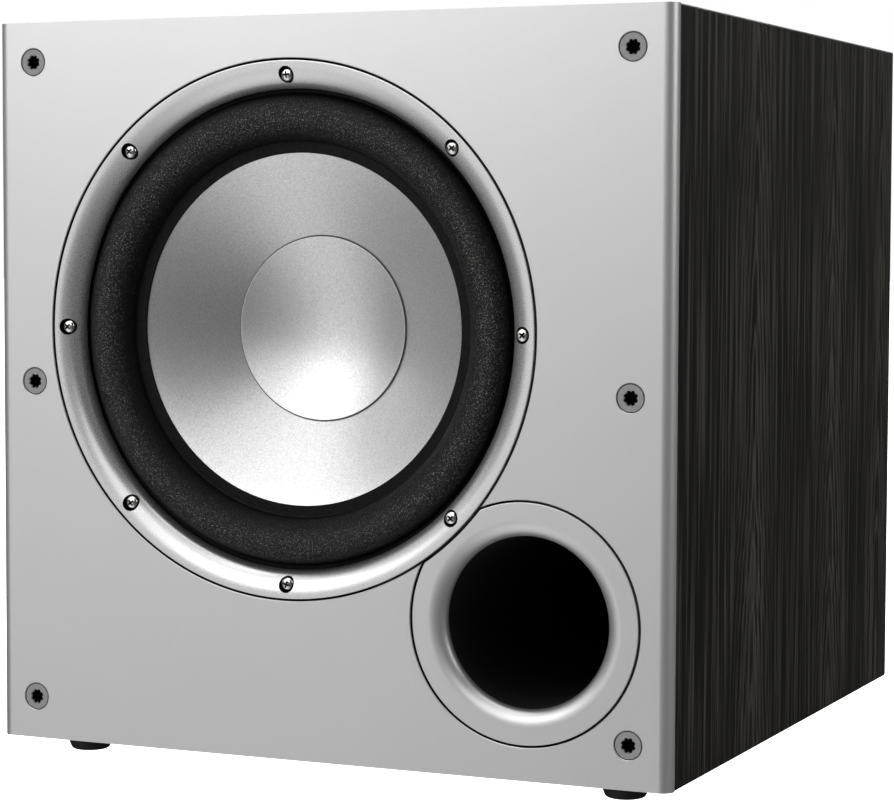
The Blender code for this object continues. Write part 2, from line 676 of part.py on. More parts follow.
def make_amplifier_board():
    """The circuit board, with the blocks of the controls and inputs on its rear side."""
    thickness = 1.6 * MM
    size = (170.0 * MM, 132.0 * MM)
    back = BOARD_DEPTH + thickness
    board = rear_box("amplifier_board", (0.0, 58.0 * MM), size, BOARD_DEPTH, back, CIRCUIT)
    inside = BOARD_DEPTH + thickness / 2
    for name, x in KNOB_SPOTS.items():
        join(board, rear_box(f"pot_{name}", (x, CONTROL_ROW), (17.0 * MM, 17.0 * MM), 12.0 * MM, inside))
    for name, x in (("phase", PHASE_X), ("mode", MODE_X)):
        join(board, rear_box(f"body_{name}", (x, CONTROL_ROW), (9.0 * MM, 18.0 * MM), 11.0 * MM, inside))
    join(board, rear_box("input_block", (-59.0 * MM, INPUT_ROW), (46.0 * MM, 16.0 * MM), 12.0 * MM, inside))
    for index, x in enumerate((30.0 * MM, 64.0 * MM)):
        can = [(0.0, 33.0), (14.0, 33.0), (15.0, 34.5), (15.0, 74.0), (14.0, 76.0), (0.0, 76.0)]
        capacitor = [(radius * MM, depth * MM) for radius, depth in can]
        name = f"smoothing_capacitor_{'ab'[index]}"
        turned(name, capacitor, 16, REAR, BLACK_PLASTIC, (x, 20.0 * MM, 0.0))


def make_transformer():
    """A toroid, with rounded edges, on the inside of the plate."""
    start = PLATE_THICKNESS + GAP
    end = start + 36.0 * MM
    outer, inner, edge = 40.0 * MM, 12.0 * MM, 8.0 * MM
    profile = [(outer - edge, start), (outer, start + edge), (outer, end - edge), (outer - edge, end)]
    half = edge / 2
    profile += [(inner + half, end), (inner, end - half), (inner, start + half), (inner + half, start)]
    turned("transformer", profile, SMALL, REAR, COPPER, (-42.0 * MM, -70.0 * MM, 0.0))


def make_heat_sink():
    """A finned extrusion with upright fins."""
    half = 90.0 * MM
    base = 4.3 * MM
    fins = 13
    fin = 2.4 * MM
    pitch = (2 * half - fin) / (fins - 1)
    outline = [(half, GAP), (-half, GAP)]
    for index in range(fins):
        left = -half + index * pitch
        right = left + fin
        outline += [(left, base), (left, SINK_HEIGHT), (right, SINK_HEIGHT), (right, base)]
    outline = outline[:2] + outline[3:-1]
    turn = (math.radians(90.0), 0.0, 0.0)
    extruded("heat_sink", outline, 88.0 * MM, REAR, ANODISED, (0.0, -6.0 * MM, 0.0), turn)


def make_knobs():
    """Each knob turns on its shaft, which passes through the plate to its control."""
    skirt, crown, shaft = 10.0 * MM, 8.0 * MM, 3.0 * MM
    top, base, end = -16.0 * MM, -1.0 * MM, 11.5 * MM
    profile = [(0.0, top), (crown - 1.0 * MM, top), (crown, top + 1.0 * MM), (crown + 0.6 * MM, -4.0 * MM)]
    profile += [(skirt, -3.0 * MM), (skirt, base), (shaft, base), (shaft, end), (0.0, end)]
    for name, x in KNOB_SPOTS.items():
        knob = turned(name, profile, SMALL, REAR, BLACK_PLASTIC, (x, CONTROL_ROW, 0.0))
        low = (x - 0.7 * MM, CONTROL_ROW + 3.0 * MM, 15.2 * MM)
        high = (x + 0.7 * MM, CONTROL_ROW + 12.0 * MM, 17.0 * MM)
        cut(knob, box(f"pointer_{name}", low, high, REAR))


def make_switches():
    """Slide levers: the phase lever rests at the bottom of its slot, the mode lever in the middle."""
    for name, x, rest in (("phase_switch", PHASE_X, -2.5 * MM), ("mode_switch", MODE_X, 0.0)):
        middle = CONTROL_ROW + rest
        origin = (x, middle, 0.0)
        size = (3.6 * MM, 4.0 * MM)
        lever = rear_box(name, (x, middle), size, -4.5 * MM, 10.5 * MM, BLACK_PLASTIC, origin)
        bevel = lever.modifiers.new("soften", "BEVEL")
        bevel.width = 0.4 * MM
        bevel.segments = 1


def make_inputs():
    """Phono sockets: a barrel with a nut, open at its centre."""
    profile = [(0.0, 1.0 * MM), (1.7 * MM, 1.0 * MM), (1.7 * MM, -9.0 * MM), (4.2 * MM, -9.0 * MM)]
    profile += [(4.2 * MM, -2.8 * MM), (6.4 * MM, -2.8 * MM), (6.4 * MM, -0.4 * MM), (4.5 * MM, -0.4 * MM)]
    profile += [(4.5 * MM, 11.5 * MM), (0.0, 11.5 * MM)]
    for name, x in INPUT_SPOTS.items():
        turned(name, profile, TINY, REAR, GOLD, (x, INPUT_ROW, 0.0))


def make_mains_inlet():
    """One moulding that holds the mains inlet and the window of the power rocker."""
    middle = (MAINS_X, MAINS_ROW)
    bezel_size, body_size = (62.0 * MM, 32.0 * MM), (56.0 * MM, 26.0 * MM)
    bezel = rear_box("mains_inlet", middle, bezel_size, -2.2 * MM, -GAP, BLACK_PLASTIC)
    join(bezel, rear_box("inlet_body", middle, body_size, -1.2 * MM, 24.0 * MM))
    cavity_size, window_size = (24.0 * MM, 16.6 * MM), (16.0 * MM, 22.0 * MM)
    cavity = rear_box("inlet_cavity", (INLET_X, MAINS_ROW), cavity_size, -5.0 * MM, 14.0 * MM)
    window = rear_box("rocker_window", (ROCKER_X, MAINS_ROW), window_size, -5.0 * MM, 12.0 * MM)
    cut(bezel, cavity, window)
    pin = (2.0 * MM, 4.0 * MM)
    for index, (x, y) in enumerate(((-7.0, -2.0), (7.0, -2.0), (0.0, 3.0))):
        centre = (INLET_X + x * MM, MAINS_ROW + y * MM)
        join(bezel, rear_box(f"inlet_pin_{index + 1}", centre, pin, 2.5 * MM, 16.0 * MM))


def make_rocker():
    """A rocker with a shallow V face. It rests with its lower half pressed."""
    outline = [(-10.0, 2.6), (-10.0, -2.0), (-4.0, -7.0), (4.0, -7.0)]
    outline += [(10.0, -2.0), (10.0, 2.6), (0.0, 0.8)]
    outline = [(y * MM, (z + 2.0) * MM) for y, z in outline]
    turn = (math.radians(90.0), 0.0, math.radians(90.0))
    rocker = extruded("power_rocker", outline, 15.2 * MM, REAR, BLACK_PLASTIC)
    rocker.location = (ROCKER_X, MAINS_ROW, -ROCKER_PIVOT_DEPTH)
    rocker.rotation_euler = turn
    rocker.data.transform(Matrix.Rotation(ROCKER_REST_ANGLE, 4, "Z"))


def make_lamp():
    dome = [(radius, depth - 0.6 * MM) for radius, depth in arc((0.0, 0.0), 2.4 * MM, -90.0, 0.0, 3)]
    profile = [*dome, (2.4 * MM, 8.0 * MM), (0.0, 8.0 * MM)]
    profile[0] = (0.0, profile[0][1])
    turned("status_lamp", profile, TINY, REAR, LAMP_GREEN, (LAMP_X, CONTROL_ROW, 0.0))


# ---------------------------------------------------------------- the object

make_fascia()
make_panels()
make_feet()
make_sockets()
make_trim_ring()
make_screws()
make_basket()
make_gasket()
turned("surround", surround_profile(), MEDIUM, DRIVER, FOAM)
make_cone()
make_dust_cap()
make_voice_coil()
make_spider()
make_motor()
make_driver_wiring()
make_port()
make_amplifier_plate()
make_amplifier_board()
make_transformer()
make_heat_sink()
make_knobs()
make_switches()
make_inputs()
make_mains_inlet()
make_rocker()
make_lamp()
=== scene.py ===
"""A powered subwoofer: the visible pieces and their materials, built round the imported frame.

Sizes in the piece functions are in millimetres. A front piece is given by its depth behind the front face,
and a rear piece by its height above the amplifier plate's outer face.
"""

import math
import random

import bmesh
import bpy
from mathutils import Matrix, Vector


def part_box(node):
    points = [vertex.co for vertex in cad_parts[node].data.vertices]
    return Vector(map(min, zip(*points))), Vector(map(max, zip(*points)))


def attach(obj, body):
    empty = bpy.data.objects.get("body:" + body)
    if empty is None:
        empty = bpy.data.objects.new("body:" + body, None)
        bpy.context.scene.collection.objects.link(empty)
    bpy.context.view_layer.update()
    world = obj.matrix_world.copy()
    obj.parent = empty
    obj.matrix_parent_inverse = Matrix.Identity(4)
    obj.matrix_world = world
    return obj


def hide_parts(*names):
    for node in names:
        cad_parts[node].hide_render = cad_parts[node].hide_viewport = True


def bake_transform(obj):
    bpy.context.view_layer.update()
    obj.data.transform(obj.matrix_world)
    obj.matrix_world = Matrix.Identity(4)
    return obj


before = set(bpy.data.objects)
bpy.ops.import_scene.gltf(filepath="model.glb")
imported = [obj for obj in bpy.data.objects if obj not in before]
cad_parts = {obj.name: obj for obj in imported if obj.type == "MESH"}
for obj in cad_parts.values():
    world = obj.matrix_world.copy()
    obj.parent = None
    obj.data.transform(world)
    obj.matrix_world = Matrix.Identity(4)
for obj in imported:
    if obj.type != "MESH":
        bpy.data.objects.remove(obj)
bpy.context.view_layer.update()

MM = 0.001


def centre_of(node):
    low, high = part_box(node)
    return (Vector(low) + Vector(high)) / 2


FRONT_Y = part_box("front_fascia")[0][1]
HALF_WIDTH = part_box("front_fascia")[1][0] / MM
FLOOR_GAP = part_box("front_fascia")[0][2] / MM
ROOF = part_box("front_fascia")[1][2] / MM
DRIVER = centre_of("driver_trim_ring")
PORT = centre_of("port_tube")
PLATE_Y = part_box("heat_sink")[0][1] - 0.3 * MM
PLATE = centre_of("amplifier_plate")
BOX_DEPTH = (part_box("rear_panel")[1][1] - FRONT_Y) / MM


def facing_front(x, z):
    """Local axes of a front piece: x to the right, y down, z back into the box, from the front face."""
    return Matrix.Translation((x, FRONT_Y, z)) @ Matrix.Rotation(-math.pi / 2, 4, "X") @ Matrix.Scale(MM, 4)


def facing_rear(x=0.0, y=0.0):
    """Local axes of a rear piece: x to the right as seen from behind, y up, z out of the plate."""
    turned = Matrix(((-1, 0, 0), (0, 0, 1), (0, 1, 0))).to_4x4()
    spot = Vector((PLATE.x - x * MM, PLATE_Y, PLATE.z + y * MM))
    return Matrix.Translation(spot) @ turned @ Matrix.Scale(MM, 4)


UPRIGHT = Matrix.Translation((0.0, FRONT_Y, 0.0)) @ Matrix.Scale(MM, 4)  # x right, y depth, z up
DRIVER_AXES = facing_front(DRIVER.x, DRIVER.z)
PORT_AXES = facing_front(PORT.x, PORT.z)


# ---- node and material helpers


class Nodes:
    """A node tree, built one node at a time."""

    def __init__(self, tree):
        self.tree = tree

    def link(self, value, socket):
        """Joins an output to a socket, or sets a constant on it."""
        if isinstance(value, bpy.types.NodeSocket):
            self.tree.links.new(value, socket)
        elif isinstance(value, tuple) and len(value) == 3 and socket.type == "RGBA":
            socket.default_value = (*value, 1.0)
        else:
            socket.default_value = value

    def node(self, kind, inputs, output=0, **settings):
        """Adds a node, feeds its inputs and gives back one of its outputs."""
        made = self.tree.nodes.new(kind)
        for key, value in settings.items():
            setattr(made, key, value)
        for socket, value in inputs.items():
            self.link(value, made.inputs[socket])
        return made.outputs[output]

    def math(self, operation, first, second=0.0):
        return self.node("ShaderNodeMath", {0: first, 1: second}, operation=operation)

    def plus(self, first, second):
        return self.math("ADD", first, second)

    def times(self, first, second):
        return self.math("MULTIPLY", first, second)


class Paint(Nodes):
    """A procedural material in object coordinates, in metres."""

    def __init__(self, name, colour, roughness, metallic=0.0, **constants):
        self.material = bpy.data.materials.new(name)
        self.material.use_nodes = True
        super().__init__(self.material.node_tree)
        self.shader = self.tree.nodes["Principled BSDF"]
        self.spot = self.node("ShaderNodeTexCoord", {}, "Object")
        self.set("Base Color", colour)
        self.set("Roughness", roughness)
        self.set("Metallic", metallic)
        for socket, value in constants.items():
            self.set(socket.replace("_", " "), value)

    def set(self, socket, value):
        self.link(value, self.shader.inputs[socket])

    def stretched(self, x, y, z):
        """Object coordinates scaled along each axis."""
        return self.node("ShaderNodeMapping", {"Vector": self.spot, "Scale": (x, y, z)})

    def noise(self, scale, detail=3.0, roughness=0.55, vector=None, distortion=0.0):
        inputs = {"Scale": scale, "Detail": detail, "Roughness": roughness, "Distortion": distortion}
        return self.node("ShaderNodeTexNoise", {**inputs, "Vector": vector or self.spot}, "Fac")

    def cells(self, scale):
        """How far a point is from the nearest edge between two cells."""
        inputs = {"Vector": self.spot, "Scale": scale}
        return self.node("ShaderNodeTexVoronoi", inputs, "Distance", feature="DISTANCE_TO_EDGE")

    def spread(self, value, low, high, to_low=0.0, to_high=1.0):
        """Maps low..high of a value to another range, clamped."""
        inputs = {"Value": value, "From Min": low, "From Max": high, "To Min": to_low, "To Max": to_high}
        return self.node("ShaderNodeMapRange", inputs, "Result", clamp=True)

    def mix(self, factor, first, second):
        return self.node("ShaderNodeMix", {0: factor, 6: first, 7: second}, 2, data_type="RGBA")

    def mottle(self, value, low, high, first, second):
        """Colours the surface from the first colour to the second as a value goes from low to high."""
        self.set("Base Color", self.mix(self.spread(value, low, high), first, second))

    def axes(self):
        made = self.tree.nodes.new("ShaderNodeSeparateXYZ")
        self.link(self.spot, made.inputs[0])
        return made.outputs

    def combine(self, x, y, z):
        return self.node("ShaderNodeCombineXYZ", {0: x, 1: y, 2: z})

    def bump(self, height, distance, strength):
        """Gives the surface relief, by a distance in metres."""
        inputs = {"Height": height, "Distance": distance, "Strength": strength}
        self.set("Normal", self.node("ShaderNodeBump", inputs, "Normal"))


def tint(colour, factor):
    return tuple(min(1.0, channel * factor) for channel in colour)


def grey(level):
    return (level, level, level)


# ---- materials


def lacquer(name, colour, roughness, metallic, grain=0.03, peel=0.35):
    """Silver lacquer: fine metal flake, slight clouding and a faint orange peel."""
    paint = Paint(name, colour, roughness, metallic)
    flakes = paint.noise(2600.0, 2.0)
    cloud = paint.noise(18.0, 2.0)
    blend = paint.plus(paint.times(flakes, 0.8), paint.times(cloud, 0.2))
    paint.mottle(blend, 0.35, 0.65, tint(colour, 1 - grain), tint(colour, 1 + grain))
    paint.set("Roughness", paint.spread(flakes, 0.3, 0.7, roughness - 0.03, roughness + 0.03))
    paint.bump(paint.noise(240.0, 1.0), 0.00002, peel)
    return paint.material


def cone_metal(name, colour, roughness):
    """Mica-filled cone skin: a sparkling grain under a satin face."""
    paint = Paint(name, colour, roughness, 0.92)
    sparkle = paint.noise(1300.0, 2.0, 0.7)
    paint.mottle(sparkle, 0.32, 0.68, tint(colour, 0.84), tint(colour, 1.16))
    paint.set("Roughness", paint.spread(sparkle, 0.3, 0.7, roughness + 0.04, roughness - 0.04))
    paint.bump(sparkle, 0.00003, 0.5)
    return paint.material


def foam(name):
    """Black rubberised foam with a granular skin. The crest of the roll is painted lighter and flecked with
    painted glints, and the creases are painted darker: painted light and shade.
    """
    paint = Paint(name, grey(0.0012), 0.62, Specular_IOR_Level=0.12)
    spots = paint.axes()
    squares = []
    for spot, middle in ((spots[0], DRIVER.x), (spots[2], DRIVER.z)):
        aside = paint.math("SUBTRACT", spot, middle)
        squares.append(paint.times(aside, aside))
    radius = paint.math("SQRT", paint.plus(*squares))
    off_crest = paint.math("ABSOLUTE", paint.math("SUBTRACT", radius, CREST_RADIUS))
    # painted light: full strength on the crest of the roll, falling to a tenth in the creases
    painted_light_mask = paint.spread(off_crest, 0.0100, 0.0015, 0.10, 1.0)
    grain = paint.noise(1100.0, 2.0, 0.6)
    # painted glints: bright flecks, on the crest only
    painted_glints = paint.times(paint.spread(paint.noise(1900.0, 1.0, 0.5), 0.56, 0.84), painted_light_mask)
    # painted highlight and shade: the skin is lighter on the crest and near black in the creases
    skin = paint.mix(painted_light_mask, grey(0.0004), (0.0055, 0.0055, 0.0053))
    paint.set("Base Color", paint.mix(painted_glints, skin, (0.130, 0.130, 0.125)))
    paint.set("Roughness", paint.spread(grain, 0.35, 0.65, 0.66, 0.40))
    paint.bump(grain, 0.0004, 0.7)
    return paint.material


def veneer(name, across, along, hearts):
    """Black ash: straight pores and, about each heart line, nested arches of growth rings.

    across and along name the two axes of the face: the grain runs along the second. A heart is its place
    across the face and the length of grain from one arch to the next.
    """
    paint = Paint(name, DARK_ASH, 0.55, Specular_IOR_Level=0.13)
    spots = dict(zip("xyz", paint.axes()))
    u, v = spots[across], spots[along]

    def streaky(per_metre_across, per_metre_along, detail, offset):
        spot = paint.combine(paint.times(u, per_metre_across), paint.times(v, per_metre_along), offset)
        return paint.noise(1.0, detail, 0.55, spot)

    drift = streaky(9.0, 8.0, 2.0, 3.7)
    fine = streaky(440.0, 7.0, 3.0, 0.0)
    broad = streaky(40.0, 3.0, 2.0, 9.0)
    wander = paint.plus(paint.times(drift, 3.5), paint.times(fine, 0.9))
    arches = 0.0
    for heart, rise in hearts:
        offset = paint.math("SUBTRACT", u, heart)
        aside = paint.math("SQRT", paint.plus(paint.times(offset, offset), ARCH_TIP**2))
        count = paint.plus(paint.math("DIVIDE", aside, RING_WIDTH), paint.math("DIVIDE", v, rise))
        rings = paint.math("SINE", paint.times(paint.plus(count, wander), math.tau))
        near = paint.spread(aside, 0.040, 0.012)
        arches = paint.math("MAXIMUM", arches, paint.times(paint.spread(rings, 0.2, 0.9), near))
    figure = paint.times(arches, paint.spread(broad, 0.36, 0.60, 0.58, 0.92))
    streaks = paint.times(paint.spread(fine, 0.48, 0.64), paint.spread(broad, 0.35, 0.65, 0.68, 0.86))
    paint.set("Base Color", paint.mix(paint.math("MAXIMUM", figure, streaks), DARK_ASH, LIGHT_ASH))
    paint.set("Roughness", paint.spread(fine, 0.3, 0.7, 0.50, 0.62))
    paint.bump(fine, 0.00008, 0.4)
    return paint.material


def moulded(name, colour, roughness, grain=900.0, relief=0.00003, **constants):
    """Moulded plastic or rubber with a fine spark-eroded grain."""
    paint = Paint(name, colour, roughness, **constants)
    speckle = paint.noise(grain, 2.0)
    paint.mottle(speckle, 0.3, 0.7, tint(colour, 0.88), tint(colour, 1.12))
    paint.set("Roughness", paint.spread(speckle, 0.3, 0.7, roughness - 0.05, roughness + 0.05))
    paint.bump(speckle, relief, 0.6)
    return paint.material


def metal(name, colour, roughness, stretch=(1.0, 1.0, 1.0), scale=700.0, relief=0.00001):
    """Bare or plated metal, with tool marks where it is stretched."""
    paint = Paint(name, colour, roughness, 1.0)
    marks = paint.noise(scale, 3.0, 0.6, paint.stretched(*stretch))
    paint.mottle(marks, 0.3, 0.7, tint(colour, 0.86), tint(colour, 1.08))
    paint.set("Roughness", paint.spread(marks, 0.3, 0.7, roughness * 0.75, roughness * 1.3))
    paint.bump(marks, relief, 0.5)
    return paint.material


def fibreboard(name):
    """Pressed wood fibres."""
    paint = Paint(name, (0.30, 0.20, 0.12), 0.85)
    fibres = paint.noise(900.0, 4.0, 0.7, paint.stretched(1.0, 0.35, 1.0))
    paint.mottle(fibres, 0.3, 0.7, (0.20, 0.13, 0.07), (0.42, 0.30, 0.19))
    paint.bump(fibres, 0.0001, 0.6)
    return paint.material


def wadding(name):
    """Grey tufts of sound-deadening fibre."""
    paint = Paint(name, (0.10, 0.10, 0.11), 0.95, Sheen_Weight=0.3)
    tufts = paint.noise(160.0, 5.0, 0.75, distortion=1.5)
    paint.mottle(tufts, 0.3, 0.7, (0.05, 0.05, 0.055), (0.19, 0.19, 0.20))
    paint.bump(tufts, 0.002, 0.9)
    return paint.material


def winding(name):
    """Enamelled copper wire, turn on turn."""
    paint = Paint(name, (0.55, 0.22, 0.09), 0.28, 0.9)
    turns = paint.noise(1.0, 2.0, 0.5, paint.stretched(60.0, 2400.0, 60.0))
    paint.mottle(turns, 0.35, 0.65, (0.33, 0.11, 0.04), (0.70, 0.32, 0.14))
    paint.bump(turns, 0.0002, 0.8)
    return paint.material


def woven(name, dark, light):
    """Resin-stiffened cloth."""
    paint = Paint(name, dark, 0.85, Sheen_Weight=0.2)
    spots = paint.axes()
    warp, weft = [paint.math("SINE", paint.times(spots[axis], 5200.0)) for axis in (0, 2)]
    weave = paint.times(warp, weft)
    paint.mottle(weave, -1.0, 1.0, dark, light)
    paint.bump(weave, 0.0002, 0.7)
    return paint.material


def circuit_board(name, face):
    """Green solder resist with lighter tracks, and black parts from the plane y = face rearwards."""
    paint = Paint(name, (0.01, 0.08, 0.03), 0.35)
    tracks = paint.cells(170.0)
    speckle = paint.noise(1200.0, 2.0)
    board = paint.mix(paint.spread(speckle, 0.3, 0.7), (0.008, 0.07, 0.025), (0.014, 0.11, 0.04))
    board = paint.mix(paint.spread(tracks, 0.02, 0.05), (0.05, 0.22, 0.08), board)
    part = paint.spread(paint.axes()[1], face, face + 0.1 * MM)
    paint.set("Base Color", paint.mix(part, board, grey(0.004)))
    paint.bump(tracks, 0.0001, 0.4)
    return paint.material


CREST_RADIUS = 0.1025  # of the foam roll, in metres
DARK_ASH, LIGHT_ASH = (0.0021, 0.0019, 0.0015), (0.0285, 0.0268, 0.0226)
RING_WIDTH, ARCH_TIP = 0.0052, 0.0025  # of the growth rings, in metres
SILVER = lacquer("silver_lacquer", grey(0.55), 0.40, 0.92)
RING_SILVER = lacquer("ring_lacquer", grey(0.54), 0.29, 0.92, 0.01, 0.1)
CONE_SKIN = cone_metal("cone_skin", grey(0.57), 0.37)
FOAM = foam("surround_foam")
VENEER_SIDE = veneer("black_ash_side", "y", "z", [(-0.078, 0.046), (0.055, 0.038), (0.150, 0.055)])
VENEER_TOP = veneer("black_ash_top", "y", "x", [(-0.100, 0.050), (0.040, 0.042), (0.150, 0.060)])
VENEER_REAR = veneer("black_ash_rear", "x", "z", [(-0.150, 0.042), (0.020, 0.050), (0.145, 0.046)])
SOCKET_GREY = moulded("socket_grey", grey(0.115), 0.45)
# near-black paint that stands in for the shade in gaps, hollows and hole floors: painted shade
SHADE_BLACK = moulded("painted_shade_black", grey(0.001), 0.8, Specular_IOR_Level=0.1)
TUBE_BLACK = moulded("tube_black", grey(0.004), 0.6)
BLACK_PLASTIC = moulded("black_plastic", grey(0.006), 0.42)
RUBBER = moulded("foot_rubber", grey(0.002), 0.62, 700.0, 0.00006, Specular_IOR_Level=0.3)
STEEL = metal("zinc_steel", (0.60, 0.60, 0.58), 0.24)
SCREW_STEEL = metal("screw_steel", (0.72, 0.72, 0.70), 0.16)
PLATE_STEEL = metal("plain_steel", grey(0.45), 0.38)
BLACK_STEEL = moulded("black_steel", grey(0.010), 0.35)
CAST = moulded("cast_alloy", (0.030, 0.030, 0.032), 0.55, 500.0, 0.0001, Metallic=0.5)
FERRITE = moulded("ferrite", (0.030, 0.030, 0.033), 0.7, 600.0, 0.0001)
PLATE_BLACK = moulded("powder_coat", (0.006, 0.006, 0.0065), 0.50, 1300.0, 0.00008)
ANODISED = metal("black_anodised", (0.035, 0.035, 0.037), 0.42, (1.0, 1.0, 0.03), 1500.0, 0.00002)
GOLD = metal("gold_plate", (0.86, 0.60, 0.24), 0.20)
COPPER = winding("enamelled_copper")
SPIDER_CLOTH = woven("spider_cloth", (0.28, 0.15, 0.05), (0.50, 0.30, 0.12))
FORMER = moulded("former_paper", (0.35, 0.17, 0.05), 0.6, 400.0)
BOARD_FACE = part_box("amplifier_board")[0][1] + 1.65 * MM
CIRCUIT = circuit_board("circuit_board", BOARD_FACE)
BOARD_WOOD = fibreboard("fibreboard")
WADDING = wadding("grey_wadding")
LAMP = moulded("lamp_green", (0.08, 0.42, 0.12), 0.12, Transmission_Weight=0.5)
PRINT = moulded("white_print", grey(0.60), 0.6)
RED_INSERT = moulded("red_insert", (0.35, 0.01, 0.01), 0.35)
WHITE_INSERT = moulded("white_insert", (0.65, 0.65, 0.62), 0.35)


# ---- mesh helpers

ON_AXIS = 1e-6  # a smaller radius is a point on the axis
MERGE = 1e-5  # vertices nearer than this become one


def rounded(corners, steps=4, closed=True):
    """An outline whose corners, given as (x, y, radius), are rounded into arcs."""
    found = []
    last = len(corners) - 1
    for index, (x, y, radius) in enumerate(corners):
        if radius == 0 or (not closed and index in (0, last)):
            found.append((x, y))
            continue
        here = Vector((x, y))
        before = (Vector(corners[index - 1][:2]) - here).normalized()
        after = (Vector(corners[(index + 1) % len(corners)][:2]) - here).normalized()
        half = before.angle(after) / 2
        centre = here + (before + after).normalized() * (radius / math.sin(half))
        start = here + before * (radius / math.tan(half)) - centre
        end = here + after * (radius / math.tan(half)) - centre
        sweep = start.angle(end)
        for step in range(steps + 1):
            share = step / steps
            near, far = math.sin((1 - share) * sweep), math.sin(share * sweep)
            found.append(tuple(centre + (start * near + end * far) / math.sin(sweep)))
    return found


def ring_of(radius, count, centre=(0.0, 0.0)):
    """A circle as a list of points."""
    turn = math.tau / count
    unit = [(math.cos(k * turn), math.sin(k * turn)) for k in range(count)]
    return [(centre[0] + radius * x, centre[1] + radius * y) for x, y in unit]


def rectangle(wide, high, radius, centre=(0.0, 0.0), steps=5):
    """A rounded rectangle as a list of points."""
    x, y = wide / 2, high / 2
    corners = [(-x, -y, radius), (x, -y, radius), (x, y, radius), (-x, y, radius)]
    return [(a + centre[0], b + centre[1]) for a, b in rounded(corners, steps)]


def to_mesh(name, shape, axes):
    """The finished bmesh as a mesh in the row frame, with its faces turned outwards."""
    bmesh.ops.remove_doubles(shape, verts=shape.verts, dist=MERGE)
    bmesh.ops.recalc_face_normals(shape, faces=shape.faces)
    mesh = bpy.data.meshes.new(name)
    shape.to_mesh(mesh)
    shape.free()
    mesh.transform(axes)
    return mesh


def lathe(name, profile, axes, segments=128):
    """Turns (radius, height) points about the local z axis.

    A point on the axis is a pole. Unless both ends are on the axis, the last point is joined to the first.
    """
    shape = bmesh.new()
    rings = []
    for radius, height in profile:
        if radius < ON_AXIS:
            rings.append([shape.verts.new((0.0, 0.0, height))] * segments)
        else:
            rings.append([shape.verts.new((x, y, height)) for x, y in ring_of(radius, segments)])
    pairs = list(zip(rings, rings[1:]))
    if profile[0][0] > ON_AXIS or profile[-1][0] > ON_AXIS:
        pairs.append((rings[-1], rings[0]))
    for first, second in pairs:
        for k in range(segments):
            after = (k + 1) % segments
            corners = dict.fromkeys((first[k], first[after], second[after], second[k]))
            if len(corners) > 2:
                shape.faces.new(list(corners))
    return to_mesh(name, shape, axes)


def rod(name, radius, low, high, axes, segments):
    """A plain round bar between two heights."""
    return lathe(name, [(0.0, low), (radius, low), (radius, high), (0.0, high)], axes, segments)


def walls(shape, first, second):
    """Joins two loops of vertices with a band of faces."""
    for k in range(len(first)):
        after = (k + 1) % len(first)
        shape.faces.new((first[k], first[after], second[after], second[k]))


def placed(name, data):
    """A new object in the scene."""
    made = bpy.data.objects.new(name, data)
    bpy.context.scene.collection.objects.link(made)
    return made


def baked(item):
    """The mesh that an object shows, with its modifiers applied."""
    return bpy.data.meshes.new_from_object(item.evaluated_get(bpy.context.evaluated_depsgraph_get()))


def drawn(name, curve):
    """The mesh that a curve makes, as an editable shape."""
    holder = placed(name, curve)
    found = baked(holder)
    bpy.data.objects.remove(holder, do_unlink=True)
    shape = bmesh.new()
    shape.from_mesh(found)
    bpy.data.meshes.remove(found)
    return shape


def plate(name, outline, holes, low, high, axes, edge=0.0, edge_steps=2):
    """A flat piece between two heights, with holes, and with its edges rounded by edge."""
    curve = bpy.data.curves.new(name, "CURVE")
    curve.dimensions = "2D"
    curve.fill_mode = "BOTH"
    curve.extrude = (high - low) / 2 - edge
    curve.bevel_depth = edge
    curve.bevel_resolution = edge_steps - 1
    curve.offset = -edge
    for loop in (outline, *holes):
        spline = curve.splines.new("POLY")
        spline.points.add(len(loop) - 1)
        for point, (x, y) in zip(spline.points, loop):
            point.co = (x, y, 0.0, 1.0)
        spline.use_cyclic_u = True
    return to_mesh(name, drawn(name, curve), axes @ Matrix.Translation((0.0, 0.0, (low + high) / 2)))


def cord(name, route, radius, axes):
    """A round lead that bends smoothly along the given points, with closed ends."""
    closest = 0.0001
    curve = bpy.data.curves.new(name, "CURVE")
    curve.dimensions = "3D"
    curve.bevel_depth = radius
    curve.bevel_resolution = 3
    curve.use_fill_caps = True
    spline = curve.splines.new("NURBS")
    spline.points.add(len(route) - 1)
    for point, spot in zip(spline.points, route):
        point.co = (*spot, 1.0)
    spline.order_u = 3
    spline.use_endpoint_u = True
    spline.resolution_u = 10
    shape = drawn(name, curve)
    bmesh.ops.remove_doubles(shape, verts=shape.verts, dist=closest)
    return to_mesh(name, shape, axes)


def cross_cutter(long, narrow, tip, mouth, axes, chance):
    """A cutter for a screw's cross recess. It tapers from mouth to tip, and is turned at random."""
    shrink = 0.45
    half = [(long, -narrow), (long, narrow), (narrow, narrow), (narrow, long)]
    half += [(-narrow, long), (-narrow, narrow)]
    cross = half + [(-x, -y) for x, y in half]
    shape = bmesh.new()
    wide = [shape.verts.new((x, y, mouth)) for x, y in cross]
    slim = [shape.verts.new((x * shrink, y * shrink, tip)) for x, y in cross]
    shape.faces.new(wide)
    shape.faces.new(slim[::-1])
    walls(shape, wide, slim)
    return to_mesh("cross", shape, axes @ Matrix.Rotation(chance.uniform(0.0, math.pi / 2), 4, "Z"))


